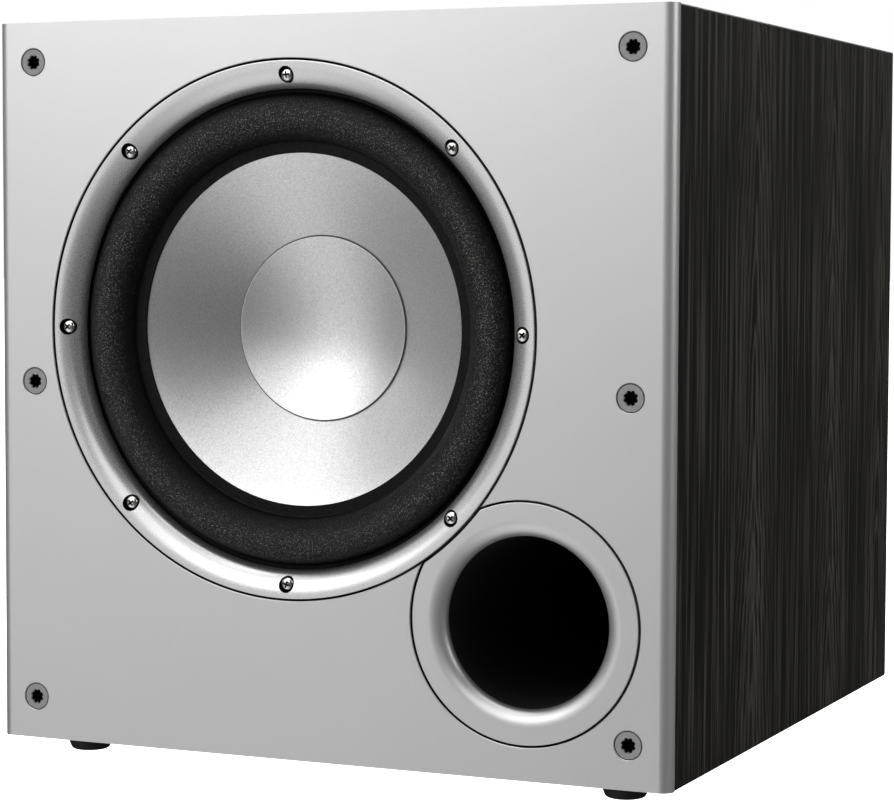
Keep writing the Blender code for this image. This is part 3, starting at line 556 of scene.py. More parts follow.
def joined(name, *meshes):
    """Several meshes as one, with the material slots of each. Either all are painted or none is."""
    shape = bmesh.new()
    slots = []
    for mesh in meshes:
        offset = len(slots)
        slots += list(mesh.materials)
        before = len(shape.faces)
        shape.from_mesh(mesh)
        shape.faces.ensure_lookup_table()
        for face in shape.faces[before:]:
            face.material_index += offset
        bpy.data.meshes.remove(mesh)
    merged = bpy.data.meshes.new(name)
    shape.to_mesh(merged)
    shape.free()
    return painted(merged, *slots)


def painted(mesh, *materials):
    """The mesh, with the materials in its next slots."""
    for material in materials:
        mesh.materials.append(material)
    return mesh


def carved(mesh, *cutters):
    """The mesh less each cutter in turn."""
    target = placed(mesh.name, mesh)
    helpers = [placed(cutter.name, cutter) for cutter in cutters]
    for helper in helpers:
        modifier = target.modifiers.new(helper.name, "BOOLEAN")
        modifier.operation = "DIFFERENCE"
        modifier.solver = "EXACT"
        modifier.object = helper
    result = baked(target)
    for item in (target, *helpers):
        bpy.data.objects.remove(item, do_unlink=True)
    return result


def piece(name, mesh, slot, *nodes, body="cabinet", sharp=32.0):
    """Puts a painted mesh in the scene, on its body and in place of its CAD nodes."""
    mesh.shade_smooth()
    mesh.set_sharp_from_angle(angle=math.radians(sharp))
    made = placed(name, mesh)
    weighted = made.modifiers.new("even_faces", "WEIGHTED_NORMAL")
    weighted.keep_sharp = True
    weighted.weight = 90
    if body:
        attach(made, body)
    if nodes:
        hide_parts(*nodes)
    return made


def off_axis(point, middle):
    """How far a point is from a line that runs straight back through middle."""
    return math.hypot(point.x - middle.x, point.z - middle.z)


def radial_blend(made, outer, inner):
    """Bakes a ring's placement into its mesh. The radii outer and inner are not used."""
    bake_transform(made)


# ---- camera, lights and floor


def make_camera():
    """The view from the front, to the right of the box and looking slightly down."""
    yaw, pitch, roll = 0.4202, 0.0614, 0.0031
    place = (0.5857, -1.3583, 0.2624)
    data = bpy.data.cameras.new("camera")
    data.lens = 110.6
    data.sensor_width = 36.0
    data.clip_end = 100.0
    camera = placed("camera", data)
    aimed = Matrix.Rotation(yaw, 4, "Z") @ Matrix.Rotation(math.pi / 2 - pitch, 4, "X")
    camera.matrix_world = Matrix.Translation(place) @ aimed @ Matrix.Rotation(roll, 4, "Z")
    bpy.context.scene.camera = camera


def direction(azimuth, elevation):
    """The way towards a spot in the room. Azimuth 0 is straight in front, and it grows to the right."""
    turn, rise = math.radians(azimuth), math.radians(elevation)
    return Vector((math.sin(turn) * math.cos(rise), -math.cos(turn) * math.cos(rise), math.sin(rise)))


def softbox(name, azimuth, elevation, power):
    """A soft square light aimed at the middle of the box."""
    distance, size, aim = 2.4, 1.2, 0.19
    way = direction(azimuth, elevation)
    data = bpy.data.lights.new(name, "AREA")
    data.size = size
    data.energy = power
    light = placed(name, data)
    spot = Vector((0.0, 0.0, aim)) + way * distance
    light.matrix_world = Matrix.Translation(spot) @ way.to_track_quat("Z", "Y").to_matrix().to_4x4()
    light.visible_camera = False


AMBIENT = 0.08
# Each glow's azimuth, elevation, tightness and strength.
GLOWS = ((-30.0, -25.0, 15.0, 0.62), (-32.0, -52.0, 8.0, 0.85))


def make_studio():
    """Soft boxes round the object, and a white room whose low glows in front show only as reflections."""
    lights = {
        "left_top": (-60.0, 75.0, 10.0),
        "right_top": (60.0, 75.0, 10.0),
        "right_side": (90.0, 25.0, 20.0),
        "left_high": (-40.0, 50.0, 6.5),
        "key": (-30.0, 25.0, 13.5),
        "front": (0.0, 25.0, 7.0),
        "front_high": (0.0, 50.0, 5.5),
        "left_low": (-60.0, 25.0, 3.4),
        "front_low": (-30.0, 2.0, 3.0),
        "rear": (180.0, 30.0, 30.0),
    }
    for name, spot in lights.items():
        softbox(name, *spot)
    world = bpy.data.worlds.new("studio")
    bpy.context.scene.world = world
    world.use_nodes = True
    room = Nodes(world.node_tree)
    way = room.node("ShaderNodeTexCoord", {}, "Generated")
    level = AMBIENT
    for azimuth, elevation, focus, strength in GLOWS:
        inputs = {0: way, 1: direction(azimuth, elevation)}
        toward = room.node("ShaderNodeVectorMath", inputs, "Value", operation="DOT_PRODUCT")
        fall = room.times(room.math("SUBTRACT", toward, 1.0), focus)
        level = room.plus(room.times(room.math("EXPONENT", fall), strength), level)
    white = grey(1.0)
    glow = world.node_tree.nodes["Background"]
    room.link(white, glow.inputs["Color"])
    room.link(level, glow.inputs["Strength"])
    backdrop = room.node("ShaderNodeBackground", {"Color": white})
    seen = room.node("ShaderNodeLightPath", {}, "Is Camera Ray")
    mixed = room.node("ShaderNodeMixShader", {0: seen, 1: glow.outputs[0], 2: backdrop})
    room.link(mixed, world.node_tree.nodes["World Output"].inputs["Surface"])
    bpy.context.scene.view_settings.view_transform = "Standard"


def make_floor():
    """A white disc, lit evenly by itself, that leaves no mirror image in the glossy pieces."""
    radius = 14000.0
    shape = bmesh.new()
    shape.faces.new([shape.verts.new((x * MM, y * MM, 0.0)) for x, y in ring_of(radius, 96)])
    mesh = to_mesh("floor", shape, Matrix.Identity(4))
    bright = {"Emission_Color": grey(1.0), "Emission_Strength": 2.0}
    paint = Paint("floor_white", grey(0.88), 0.9, **bright)
    paint.bump(paint.noise(40.0, 2.0), 0.0001, 0.1)
    floor = placed("floor", painted(mesh, paint.material))
    floor.visible_glossy = False


# ---- cabinet


def make_fascia():
    """The silver board, with rounded upright edges and recesses for what sits in it; the recess walls are
    painted black as painted shade.
    """
    thickness, edge, half = 6.5, 5.8, HALF_WIDTH
    corners = [(-half, thickness, 0.3), (-half, 0.0, edge), (half, 0.0, edge), (half, thickness, 0.3)]
    shape = bmesh.new()
    outline = rounded(corners, 10)
    low, high = [[shape.verts.new((x, y, height)) for x, y in outline] for height in (FLOOR_GAP, ROOF)]
    caps = [shape.faces.new(low[::-1]), shape.faces.new(high)]
    walls(shape, low, high)
    rims = list({rim for cap in caps for rim in cap.edges})
    bmesh.ops.bevel(shape, geom=rims, offset=0.4, segments=3, profile=0.5, affect="EDGES")
    board = to_mesh("fascia", shape, UPRIGHT)
    cutters = [recess("driver", 129.3, DRIVER_AXES, 384), recess("port", 57.4, PORT_AXES, 384)]
    sockets = [recess("socket", 6.75, axes, 64) for axes in socket_axes().values()]
    board = painted(carved(board, *cutters, joined("sockets", *sockets)), SILVER, SHADE_BLACK)
    middle = (FLOOR_GAP + ROOF) * MM / 2
    # painted shade: the upright walls of the recesses take the near-black paint
    for face in board.polygons:
        inside = max(abs(face.center.x), abs(face.center.z - middle)) < (half - edge) * MM
        face.material_index = int(inside and abs(face.normal.y) < 0.3)
    piece("fascia", board, "silver_front", "front_fascia")


def recess(name, radius, axes, segments):
    """A cutter for a round recess with a slightly broken edge."""
    chamfer, depth, above = 0.35, 8.0, 2.0
    mouth = radius + chamfer + above
    profile = [(0.0, -above), (mouth, -above), (radius, chamfer), (radius, depth), (0.0, depth)]
    return lathe(name, profile, axes, segments)


def socket_axes():
    """The local axes of each grille socket, by node name."""
    found = {}
    for place in [f"{row}_{side}" for row in ("top", "middle", "bottom") for side in ("left", "right")]:
        spot = centre_of(f"grille_socket_{place}")
        found[f"grille_socket_{place}"] = facing_front(spot.x, spot.z)
    return found


def make_wrap():
    """The veneered shell, with the grain upright on the sides and from side to side on the top."""
    wall, front = 18.0, 6.8
    middle = (0.0, -(FLOOR_GAP + ROOF) / 2)
    size = 2 * HALF_WIDTH
    outline = rectangle(size, size, 1.2, middle)
    hollow = rectangle(size - 2 * wall, size - 2 * wall, 0.0, middle)
    shell = plate("cabinet_wrap", outline, [hollow], front, BOX_DEPTH, facing_front(0.0, 0.0), 0.3)
    shell = painted(shell, VENEER_SIDE, VENEER_TOP)
    for face in shell.polygons:
        face.material_index = int(abs(face.normal.z) > abs(face.normal.x))
    nodes = ["left_side_panel", "right_side_panel", "top_panel", "bottom_panel"]
    piece("cabinet_wrap", shell, "veneer", *nodes)


def make_rear_panel():
    """The board that closes the shell behind, with a window for the amplifier."""
    span, thickness = 319.0, 18.0
    middle = (0.0, (FLOOR_GAP + ROOF) / 2 - PLATE.z / MM)
    outline = rectangle(span, span, 0.4, middle, 2)
    window = rectangle(190.0, 250.0, 2.0)
    back = (BOX_DEPTH * MM + FRONT_Y - PLATE_Y) / MM
    board = plate("rear_board", outline, [window], back - thickness, back, facing_rear(), 0.3)
    piece("rear_board", painted(board, VENEER_REAR), "veneer", "rear_panel")


def make_feet():
    """Rubber feet with a deep rounding and a countersunk screw."""
    head = [(0.0, 1.6), (2.0, 1.8), (2.8, 2.9), (0.0, 2.9)]
    for node in [f"foot_{row}_{side}" for row in ("front", "rear") for side in ("left", "right")]:
        spot = centre_of(node)
        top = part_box(node)[1][2] / MM
        axes = Matrix.Translation((spot.x, spot.y, 0.0)) @ Matrix.Scale(MM, 4)
        corners = [(0.0, top, 0), (11.0, top, 0.5), (11.0, 4.4, 1.5), (9.4, 0.0, 2.4)]
        corners += [(3.2, 0.0, 0.5), (3.2, 3.0, 0.3), (0.0, 3.0, 0)]
        body = painted(lathe("foot", rounded(corners, 6, closed=False), axes, 64), RUBBER)
        screw = painted(lathe("foot_screw", head, axes, 32), STEEL)
        piece(f"rubber_{node}", joined(node, body, screw), "rubber", node)


def make_sockets():
    """Grey cups with a ring of soft fingers round a hole whose cup and floor are painted near-black as
    painted shade.
    """
    lobes, steps, root, reach = 8, 128, 2.75, 0.85
    hole = []
    for k in range(steps):
        angle = math.tau * k / steps
        radius = root + reach * abs(math.sin(lobes / 2 * angle)) ** 0.7
        hole.append((radius * math.cos(angle), radius * math.sin(angle)))
    cup = rounded([(3.7, 1.65, 0), (6.2, 1.65, 0.2), (6.2, 6.2, 0.2), (3.7, 6.2, 0)], 2)
    for node, axes in socket_axes().items():
        face = painted(plate("socket_face", ring_of(6.4, 72), [hole], 0.2, 1.6, axes, 0.35, 3), SOCKET_GREY)
        # painted shade: the cup and floor behind the fingers are near-black
        collar = painted(lathe("socket_cup", cup, axes, 48), SHADE_BLACK)
        floor = painted(rod("socket_floor", 3.65, 5.0, 6.2, axes, 48), SHADE_BLACK)
        piece(f"fingers_{node}", joined(node, face, collar, floor), "socket_grey", node)


# ---- driver

RING_OUTER, RING_INNER = 128.3, 115.2
SCREW_CIRCLE = 121.5
SCREWS = 8


def screw_axes():
    """The local axes of each ring screw, by node name."""
    found = {}
    for index in range(SCREWS):
        node = f"driver_screw_{index + 1}"
        spot = centre_of(node)
        angle = math.tau * index / SCREWS
        x = DRIVER.x + SCREW_CIRCLE * MM * math.cos(angle)
        z = DRIVER.z + math.copysign(SCREW_CIRCLE * MM * math.sin(angle), spot.z - DRIVER.z)
        found[node] = facing_front(x, z if abs(math.sin(angle)) > 0.01 else DRIVER.z)
    return found


def rolled(outer, inner, drop, first=0):
    """A face that is flat at its outer radius and rolls over until it is upright at its inner one."""
    steps, start = 28, 0.1
    points = []
    for step in range(first, steps + 1):
        angle = math.radians(90.0 * step / steps)
        points.append((outer - (outer - inner) * math.sin(angle), start + drop * (1 - math.cos(angle)), 0))
    return points


def make_trim_ring():
    """A ring that rolls from its flat outer edge down to the surround, with counterbored screw holes."""
    seat, back, step = 9.9, 13.1, 119.6
    corners = [(RING_OUTER, 0.1, 0.45), *rolled(RING_OUTER, RING_INNER, 9.0, 1), (RING_INNER, seat, 0.25)]
    corners += [(step, seat, 0), (step, back, 0), (RING_OUTER, back, 0)]
    ring = lathe("trim_ring", rounded(corners, 4), DRIVER_AXES, 512)
    bore = 4.0
    bores = [rod("bore", bore, -2.0, 4.5, axes, 64) for axes in screw_axes().values()]
    ring = painted(carved(ring, joined("bores", *bores)), RING_SILVER, SHADE_BLACK)
    # painted shade: the faces of each bore, round the screw heads, take the near-black paint
    middles = [axes.translation for axes in screw_axes().values()]
    for face in ring.polygons:
        aside = min(off_axis(face.center, middle) for middle in middles)
        face.material_index = int(aside < (bore + 0.05) * MM)
    piece("trim_ring", ring, "ring_silver", "driver_trim_ring")


def make_screws():
    """Domed heads with a cross recess painted dark as painted shade, each turned its own way, on a plain
    shank.
    """
    chance = random.Random(11)
    profile = [(0.0, 1.1), (0.9, 1.13), (1.8, 1.27), (2.6, 1.6), (3.15, 2.1), (3.45, 2.8), (3.45, 4.2)]
    profile += [(1.9, 4.2), (1.9, 24.6), (1.5, 25.0), (0.0, 25.0)]
    for node, axes in screw_axes().items():
        head = lathe("screw", profile, axes, 48)
        cut = cross_cutter(2.05, 0.55, 3.4, 0.4, axes, chance)
        head = painted(carved(head, cut), SCREW_STEEL, SHADE_BLACK)
        # painted shade: the faces inside the cross recess take the near-black paint
        for face in head.polygons:
            depth = face.center.y - FRONT_Y
            near = off_axis(face.center, axes.translation) < 2.3 * MM
            face.material_index = int(near and 1.7 * MM < depth < 4.0 * MM)
        piece(f"cross_{node}", head, "steel", node, sharp=25.0)


ROLL_OUTER, ROLL_INNER = 113.0, 90.5


def surround_profile():
    """Outer lip, half roll and inner lip, the front face first and then the back one."""
    outer_lip, inner_lip = 119.2, 84.9
    outer_depth, inner_depth = 11.9, 15.4
    middle = (ROLL_OUTER + ROLL_INNER) / 2
    rise, thickness = 10.5, 1.2

    def base(radius):
        return outer_depth + (inner_depth - outer_depth) * (ROLL_OUTER - radius) / (ROLL_OUTER - ROLL_INNER)

    def roll(half_width, height, offset):
        points = []
        for step in range(1, 24):
            angle = math.pi * step / 24
            radius = middle + half_width * math.cos(angle)
            points.append((radius, base(radius) + offset - height * math.sin(angle), 0))
        return points

    half_width = ROLL_OUTER - middle
    front = [(outer_lip, outer_depth, 0.3), (ROLL_OUTER, outer_depth, 0.9), *roll(half_width, rise, 0.0)]
    front += [(ROLL_INNER, inner_depth, 0.9), (inner_lip, inner_depth + 0.15, 0.4)]
    back = [(outer_lip, outer_depth + thickness, 0), (ROLL_OUTER - thickness, outer_depth + thickness, 0)]
    back += roll(half_width - thickness, rise, thickness)
    back += [(ROLL_INNER + thickness, inner_depth + thickness, 0), (inner_lip, inner_depth + thickness, 0)]
    return rounded([*front, *back[::-1]], 4)


def make_surround():
    """The foam roll between the ring and the cone."""
    roll = lathe("foam_surround", surround_profile(), DRIVER_AXES, 320)
    made = piece("foam_surround", painted(roll, FOAM), "surround_foam", "surround", body=None)
    radial_blend(made, ROLL_OUTER, ROLL_INNER)


CONE_RADIUS, CONE_NECK, CONE_RIM_DEPTH = 85.2, 25.5, 17.0


def cone_depth(radius):
    """The depth of the cone's face, which is very slightly flared."""
    share = (CONE_RADIUS - radius) / (CONE_RADIUS - CONE_NECK)
    return CONE_RIM_DEPTH + 35.0 * share**1.05


def make_cone():
    """The cone, with a flat rim under the foam and a short neck on the coil's former."""
    thickness, steps, rim = 1.1, 28, 90.0
    radii = [CONE_RADIUS + (CONE_NECK - CONE_RADIUS) * k / steps for k in range(1, steps + 1)]
    front = [(rim, CONE_RIM_DEPTH, 0), (CONE_RADIUS, CONE_RIM_DEPTH, 0.8)]
    front += [(r, cone_depth(r), 0) for r in radii]
    neck_end = cone_depth(CONE_NECK) + 3.0
    back = [(CONE_NECK, neck_end, 0), (CONE_NECK + thickness, neck_end - 1.0, 0)]
    back += [(r, cone_depth(r) + thickness, 0) for r in radii[-2::-1]]
    back += [(CONE_RADIUS, CONE_RIM_DEPTH + thickness, 0), (rim, CONE_RIM_DEPTH + thickness, 0)]
    skin = lathe("driver_cone", rounded([*front, *back], 4), DRIVER_AXES, 256)
    piece("driver_cone", painted(skin, CONE_SKIN), "cone_silver", "cone", body="cone_assembly")


def make_dust_cap():
    """A dished cap with a small rolled edge, on a dark line that is partly glue and partly painted shadow
    of the cap's edge.
    """
    radius, dish, thickness, steps = 45.0, 9.0, 0.8, 26
    rim = cone_depth(radius) - 1.15
    front = [(radius * k / steps, rim + dish * (1 - (k / steps) ** 2), 0) for k in range(steps)]
    front.append((radius, rim, 0.35))
    back = [(radius, rim + thickness, 0)]
    back += [(r, depth + thickness, 0) for r, depth, _ in reversed(front[:-1])]
    cap = painted(lathe("cap", rounded([*front, *back], 3, closed=False), DRIVER_AXES, 192), CONE_SKIN)
    # a dark band round the cap's edge: glue, and painted shadow of the rim
    near, far = radius - 0.3, radius + 0.28
    seam = [(near, rim + 0.45), (far, rim + 0.45), (far, rim + 1.3), (near, rim + 1.3)]
    glue_and_painted_shadow = painted(lathe("glue_and_painted_shadow", seam, DRIVER_AXES, 192), BLACK_PLASTIC)
    piece("cap", joined("cap", cap, glue_and_painted_shadow), "cone_silver", "dust_cap", body="cone_assembly")


SPIDER_SPAN = (58.0, 27.0)  # the outer and inner radii that radial_blend is given


def make_spider():
    """The corrugated cloth disc behind the cone."""
    middle, swing, thickness, waves = 64.6, 1.8, 0.8, 3
    outer, inner, first, last = 62.0, 25.8, 57.0, 31.0
    ridge = [(outer, middle + 1.6)]
    for k in range(61):
        share = k / 60
        ridge.append((first + (last - first) * share, middle - swing * math.cos(waves * math.tau * share)))
    ridge.append((inner, middle))
    back = [(radius, depth + thickness) for radius, depth in reversed(ridge)]
    cloth = lathe("spider_disc", [*ridge, *back], DRIVER_AXES, 160)
    made = piece("spider_disc", painted(cloth, SPIDER_CLOTH), "spider_cloth", "spider", body=None)
    radial_blend(made, *SPIDER_SPAN)


def make_leads():
    """The braided leads from the coil, out along the spider and back to the terminal board."""
    gauge = 0.7
    route = [(26.7, 58.9), (38.0, 60.2), (50.0, 60.4), (60.0, 61.4), (67.0, 65.0), (67.9, 69.0)]
    for name in ("tinsel_lead_a", "tinsel_lead_b"):
        side = math.copysign(1.0, DRIVER.z - centre_of(name).z)
        points = [(radius, side * (4.0 + radius * 0.07), depth) for radius, depth in route]
        lead = painted(cord(name, points, gauge, DRIVER_AXES), COPPER)
        made = piece(f"braid_{name}", lead, "copper", name, body=None)
        radial_blend(made, *SPIDER_SPAN)


# ---- port


def make_port():
    """A flange that rolls into the bore, cut back beside the driver's ring, and a black tube."""
    outer, bore, roll = 56.4, 40.3, 8.0
    corners = [(outer, 6.3, 0), (outer, 0.1, 0.45), *rolled(bore + roll, bore, 6.1), (bore, 6.3, 0)]
    flange = lathe("port_mouth", rounded(corners, 4), PORT_AXES, 320)
    clip = rod("clip", 129.9, -4.0, 12.0, DRIVER_AXES, 512)
    piece("port_mouth", painted(carved(flange, clip), SILVER), "silver_front", "port_flange")
    inner, wall, collar = 40.5, 43.0, 45.6
    corners = [(inner, 7.1, 0.4), (collar, 7.1, 0.4), (collar, 27.0, 0.4), (wall, 27.0, 0.4)]
    corners += [(wall, 190.0, 0.8), (inner, 190.0, 0.8)]
    tube = painted(lathe("port_pipe", rounded(corners, 3), PORT_AXES, 160), TUBE_BLACK)
    piece("port_pipe", tube, "black_plastic", "port_tube")


# ---- amplifier

CONTROL_ROW = 104.0
KNOBS = {"volume_knob": -60.0, "crossover_knob": -10.0}
PHASE_X, MODE_X, LAMP_X = 34.0, 62.0, 90.0
INPUT_ROW = 62.0
INPUTS = {"line_input_left": -72.0, "line_input_right": -46.0}
MAINS = (45.0, -98.0)
INLET = (57.0, -98.0)
ROCKER = (28.0, -98.0)


def make_amplifier_plate():
    """The rear plate and its cut-outs, the switch housings and the posts of the circuit board."""
    holes = [ring_of(3.8, 32, (x, CONTROL_ROW)) for x in KNOBS.values()]
    holes.append(ring_of(2.8, 32, (LAMP_X, CONTROL_ROW)))
    holes += [ring_of(4.9, 32, (x, INPUT_ROW)) for x in INPUTS.values()]
    holes += [rectangle(4.4, 11.6, 0.6, (x, CONTROL_ROW), 3) for x in (PHASE_X, MODE_X)]
    holes.append(rectangle(56.6, 26.6, 1.0, MAINS, 3))
    sheet = plate("plate", rectangle(230.0, 284.0, 4.0), holes, -3.0, 0.0, facing_rear(), 0.4, 3)
    parts = [painted(sheet, PLATE_BLACK)]
    for x in (-78.0, 78.0):
        for y in (0.0, 116.0):
            parts.append(painted(rod("post", 3.0, -30.6, -2.9, facing_rear(x, y), 24), PLATE_STEEL))
    for x in (PHASE_X, MODE_X):
        outline, hollow = rectangle(8.4, 15.6, 0.8), rectangle(5.0, 12.2, 0.4)
        housing = plate("housing", outline, [hollow], -10.9, -2.9, facing_rear(x, CONTROL_ROW))
        parts.append(painted(housing, BLACK_PLASTIC))
    piece("rear_plate", joined("rear_plate", *parts), "plate_black", "amplifier_plate")


def make_plate_screws():
    """Ten black domed screws round the plate's edge."""
    chance = random.Random(5)
    dome = [(0.0, 2.3), (1.2, 2.22), (2.3, 1.9), (3.2, 1.25), (3.7, 0.3), (3.7, 0.02), (0.0, 0.02)]
    spots = [(x, y) for x in (-107.0, 107.0) for y in (-134.0, -45.0, 45.0, 134.0)]
    spots += [(0.0, 134.0), (0.0, -134.0)]
    heads = []
    for x, y in spots:
        axes = facing_rear(x, y)
        cut = cross_cutter(2.1, 0.45, 0.7, 3.0, axes, chance)
        heads.append(carved(lathe("head", dome, axes, 40), cut))
    piece("plate_screws", painted(joined("plate_screws", *heads), BLACK_STEEL), "steel", sharp=25.0)


def tick(angle, near, far, wide, centre):
    """A short printed line at an angle, clockwise from straight up."""
    turn = math.radians(angle)
    along, across = Vector((math.sin(turn), math.cos(turn))), Vector((math.cos(turn), -math.sin(turn)))
    corners = [(near, wide), (far, wide), (far, -wide), (near, -wide)]
    return [tuple(Vector(centre) + (along * reach + across * aside)) for reach, aside in corners]


def make_dials():
    """Printed scales: ticks round each knob, marks beside the switches and a rule round each group."""
    line, low, high = 0.35, 0.01, 0.06
    marks = []
    for x in KNOBS.values():
        marks += [tick(-150.0 + 30.0 * k, 12.4, 14.6, 0.22, (x, CONTROL_ROW)) for k in range(11)]
    for x in (PHASE_X, MODE_X):
        marks += [rectangle(2.6, 0.45, 0.0, (x + 5.6, CONTROL_ROW + y)) for y in (-2.8, 2.8)]
    marks.append(rectangle(1.6, 0.45, 0.0, (MODE_X + 5.1, CONTROL_ROW)))
    flats = [plate("mark", mark, [], low, high, facing_rear()) for mark in marks]
    groups = [(200.0, 44.0, (8.0, CONTROL_ROW)), (58.0, 30.0, (-59.0, INPUT_ROW))]
    for wide, tall, centre in groups:
        outer = rectangle(wide, tall, 3.0, centre)
        middle = Vector((sum(x for x, _ in outer), sum(y for _, y in outer))) / len(outer)
        inner = [tuple(Vector(p) + (middle - Vector(p)).normalized() * line) for p in outer]
        flats.append(plate("mark", outer, [inner], low, high, facing_rear()))
    piece("printed_scales", painted(joined("printed_scales", *flats), PRINT), "plate_black")


def make_heat_sink():
    """An extrusion with upright ribbed fins."""
    half, base, height, fins, fin = 90.0, 4.3, 22.0, 13, 2.4
    pitch = (2 * half - fin) / (fins - 1)
    corners = [(half, 0.3, 0.4), (-half, 0.3, 0.4)]
    for index in range(fins):
        left = -half + index * pitch
        right = left + fin
        if index:
            corners.append((left, base, 0.9))
        corners += [(left, height, 0.7), (right, height, 0.7)]
        if index < fins - 1:
            corners.append((right, base, 0.9))
    along = facing_rear(0.0, -6.0) @ Matrix.Rotation(math.pi / 2, 4, "X")
    sink = plate("finned_sink", rounded(corners, 3), [], -44.0, 44.0, along, 0.25)
    piece("finned_sink", painted(sink, ANODISED), "black_anodised", "heat_sink")


def make_knobs():
    """Fluted knobs with a white pointer line."""
    flutes, depth = 20, 0.45
    corners = [(0.0, 16.0, 0), (7.4, 16.0, 1.0), (8.3, 4.0, 0.4), (10.0, 3.0, 0.5), (10.0, 1.0, 0.2)]
    corners += [(3.0, 1.0, 0), (3.0, -11.5, 0), (0.0, -11.5, 0)]
    profile = rounded(corners, 5, closed=False)
    for node, x in KNOBS.items():
        body = lathe("knob", profile, Matrix.Identity(4), 240)
        for vertex in body.vertices:
            radius, height = math.hypot(vertex.co.x, vertex.co.y), vertex.co.z
            if radius > 6.9 and 3.6 < height < 15.6:
                angle = math.atan2(vertex.co.y, vertex.co.x)
                shrink = 1 - depth * max(0.0, math.cos(flutes * angle)) ** 2 / radius
                vertex.co.x *= shrink
                vertex.co.y *= shrink
        axes = facing_rear(x, CONTROL_ROW)
        body.transform(axes)
        line = plate("pointer", rectangle(1.0, 5.6, 0.3, (0.0, 3.8), 3), [], 15.7, 16.05, axes)
        knob = joined(node, painted(body, BLACK_PLASTIC), painted(line, PRINT))
        piece(f"fluted_{node}", knob, "black_plastic", node, body=node, sharp=40.0)


def make_switches():
    """Slide levers with grip ridges, in dark slots."""
    for node, x, rest in (("phase_switch", PHASE_X, -2.5), ("mode_switch", MODE_X, 0.0)):
        axes = facing_rear(x, CONTROL_ROW + rest)
        parts = [plate("stem", rectangle(3.6, 4.0, 0.3, steps=2), [], -10.5, 3.2, axes, 0.2)]
        for y in (-1.5, 0.0, 1.5):
            parts.append(plate("ridge", rectangle(3.6, 0.8, 0.2, (0.0, y), 2), [], 3.1, 4.5, axes, 0.15))
        lever = joined(node, *[painted(part, BLACK_PLASTIC) for part in parts])
        piece(f"lever_{node}", lever, "black_plastic", node, body=node)


def make_inputs():
    """Phono sockets: a gold barrel and hexagonal nut round a coloured insert."""
    barrel = rounded([(4.2, 9.0, 0.3), (4.2, -11.5, 0), (3.4, -11.5, 0), (3.4, 9.0, 0.2)], 3)
    filling = rounded([(3.35, 8.2, 0.2), (3.35, -1.0, 0), (1.7, -1.0, 0), (1.7, 8.2, 0.2)], 3)
    contact = [(1.65, 7.6), (1.65, -1.0), (1.35, -1.0), (1.35, 7.6)]
    for node, insert in (("line_input_left", WHITE_INSERT), ("line_input_right", RED_INSERT)):
        axes = facing_rear(INPUTS[node], INPUT_ROW)
        parts = [painted(lathe("barrel", barrel, axes, 64), GOLD)]
        parts.append(painted(plate("nut", ring_of(6.4, 6), [ring_of(4.25, 48)], 0.4, 2.8, axes, 0.2), GOLD))
        parts.append(painted(lathe("filling", filling, axes, 64), insert))
        parts.append(painted(lathe("contact", contact, axes, 48), GOLD))
        # painted shade: a near-black disc closes the bottom of the pin hole
        parts.append(painted(rod("end", 1.7, -1.0, -2.0, axes, 32), SHADE_BLACK))
        piece(f"phono_{node}", joined(node, *parts), "gold_plate", node)


def make_mains_inlet():
    """One moulding with the mains inlet and the rocker's window."""
    axes = facing_rear()
    corners = [(45.0, -106.3, 1.5), (69.0, -106.3, 1.5), (69.0, -93.4, 0.8), (64.4, -89.7, 0.8)]
    inlet = rounded([*corners, (49.6, -89.7, 0.8), (45.0, -93.4, 0.8)], 4)
    holes = [inlet, rectangle(16.0, 22.0, 0.6, ROCKER, 3)]
    bezel = plate("bezel", rectangle(62.0, 32.0, 2.5, MAINS), holes, 0.3, 2.2, axes, 0.6, 3)
    body = plate("body", rectangle(56.0, 26.0, 0.8, MAINS), holes, -14.0, 1.2, axes)
    floor = plate("floor", rectangle(56.0, 26.0, 0.8, MAINS), [], -24.0, -13.9, axes)
    parts = [painted(part, BLACK_PLASTIC) for part in (bezel, body, floor)]
    for x, y in ((-7.0, -2.0), (7.0, -2.0), (0.0, 3.0)):
        outline = rectangle(2.0, 4.0, 0.5, (INLET[0] + x, INLET[1] + y), 3)
        parts.append(painted(plate("pin", outline, [], -14.0, -2.5, axes, 0.3), STEEL))
    piece("mains_moulding", joined("mains_moulding", *parts), "black_plastic", "mains_inlet")


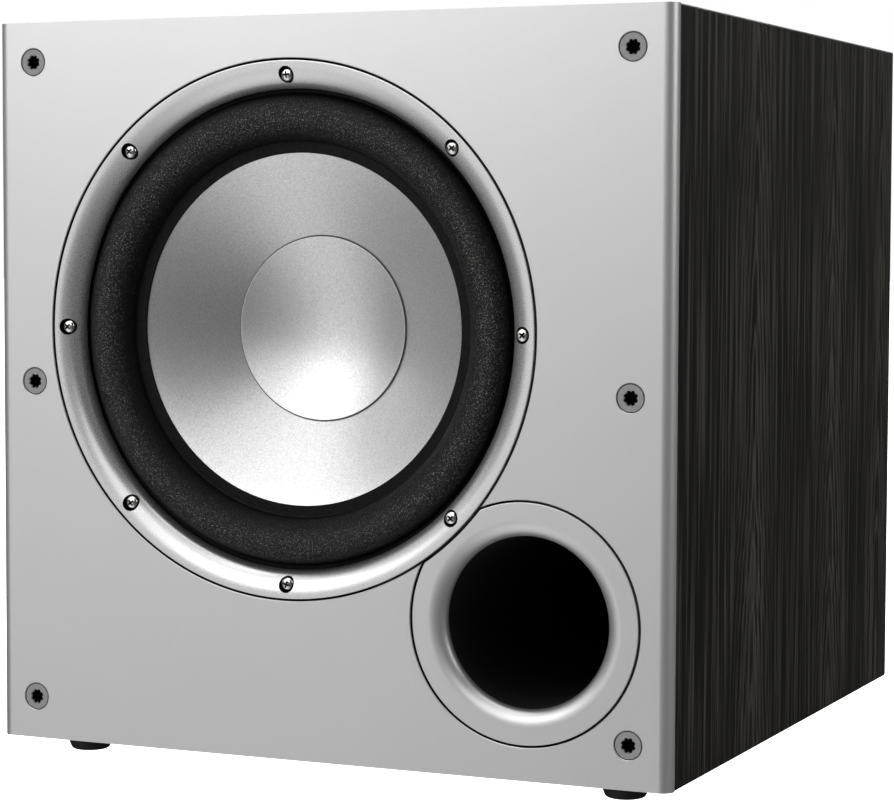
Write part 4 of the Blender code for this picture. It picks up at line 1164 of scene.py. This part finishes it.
def make_rocker():
    """A rocker with a raised middle, resting with its lower half pressed."""
    pivot, tilt = -2.0, -8.0
    flank = [(-10.0, -2.6, 0.3), (-10.0, 2.0, 0.8), (-4.0, 7.0, 2.5)]
    corners = [*flank, *[(-y, z, radius) for y, z, radius in flank[::-1]], (0.0, -0.8, 0.5)]
    outline = [(y, z + pivot) for y, z in rounded(corners, 4)]
    sideways = Matrix(((0, 0, 1), (1, 0, 0), (0, 1, 0))).to_4x4()
    axes = facing_rear(*ROCKER) @ Matrix.Translation((0.0, 0.0, pivot))
    axes = axes @ Matrix.Rotation(math.radians(tilt), 4, "X") @ sideways
    body = painted(plate("rocker", outline, [], -7.6, 7.6, axes, 0.4), BLACK_PLASTIC)
    piece("rocker", body, "black_plastic", "power_rocker", body="power_rocker")


def make_lamp():
    """A small green lens, domed outside."""
    radius, shoulder = 2.4, 0.6
    turns = [math.radians(angle) for angle in range(0, 91, 9)]
    dome = [(radius * math.sin(turn), shoulder + radius * math.cos(turn)) for turn in turns]
    lens = lathe("lens", [*dome, (radius, -8.0), (0.0, -8.0)], facing_rear(LAMP_X, CONTROL_ROW), 48)
    piece("lamp_lens", painted(lens, LAMP), "lamp_green", "status_lamp")


# ---- inner pieces that keep their CAD shape

KEPT = {
    # painted shade: the baffle, seen only through the fascia's gaps, is near-black
    "front_baffle": SHADE_BLACK,
    "cross_brace": BOARD_WOOD,
    "damping_foam": WADDING,
    "driver_basket": CAST,
    "driver_gasket": RUBBER,
    "driver_cable": RUBBER,
    "terminal_board": BLACK_PLASTIC,
    "smoothing_capacitor_a": BLACK_PLASTIC,
    "smoothing_capacitor_b": BLACK_PLASTIC,
    "top_plate": PLATE_STEEL,
    "pole_yoke": PLATE_STEEL,
    "magnet": FERRITE,
    "voice_coil_former": FORMER,
    "voice_coil_winding": COPPER,
    "transformer": COPPER,
    "amplifier_board": CIRCUIT,
}


def paint_kept_nodes():
    """Gives each carried-over CAD node its material."""
    for node, material in KEPT.items():
        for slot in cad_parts[node].material_slots:
            slot.link = "OBJECT"
            slot.material = material


make_camera()
make_studio()
make_floor()
make_fascia()
make_wrap()
make_rear_panel()
make_feet()
make_sockets()
make_trim_ring()
make_screws()
make_surround()
make_cone()
make_dust_cap()
make_spider()
make_leads()
make_port()
make_amplifier_plate()
make_plate_screws()
make_dials()
make_heat_sink()
make_knobs()
make_switches()
make_inputs()
make_mains_inlet()
make_rocker()
make_lamp()
paint_kept_nodes()
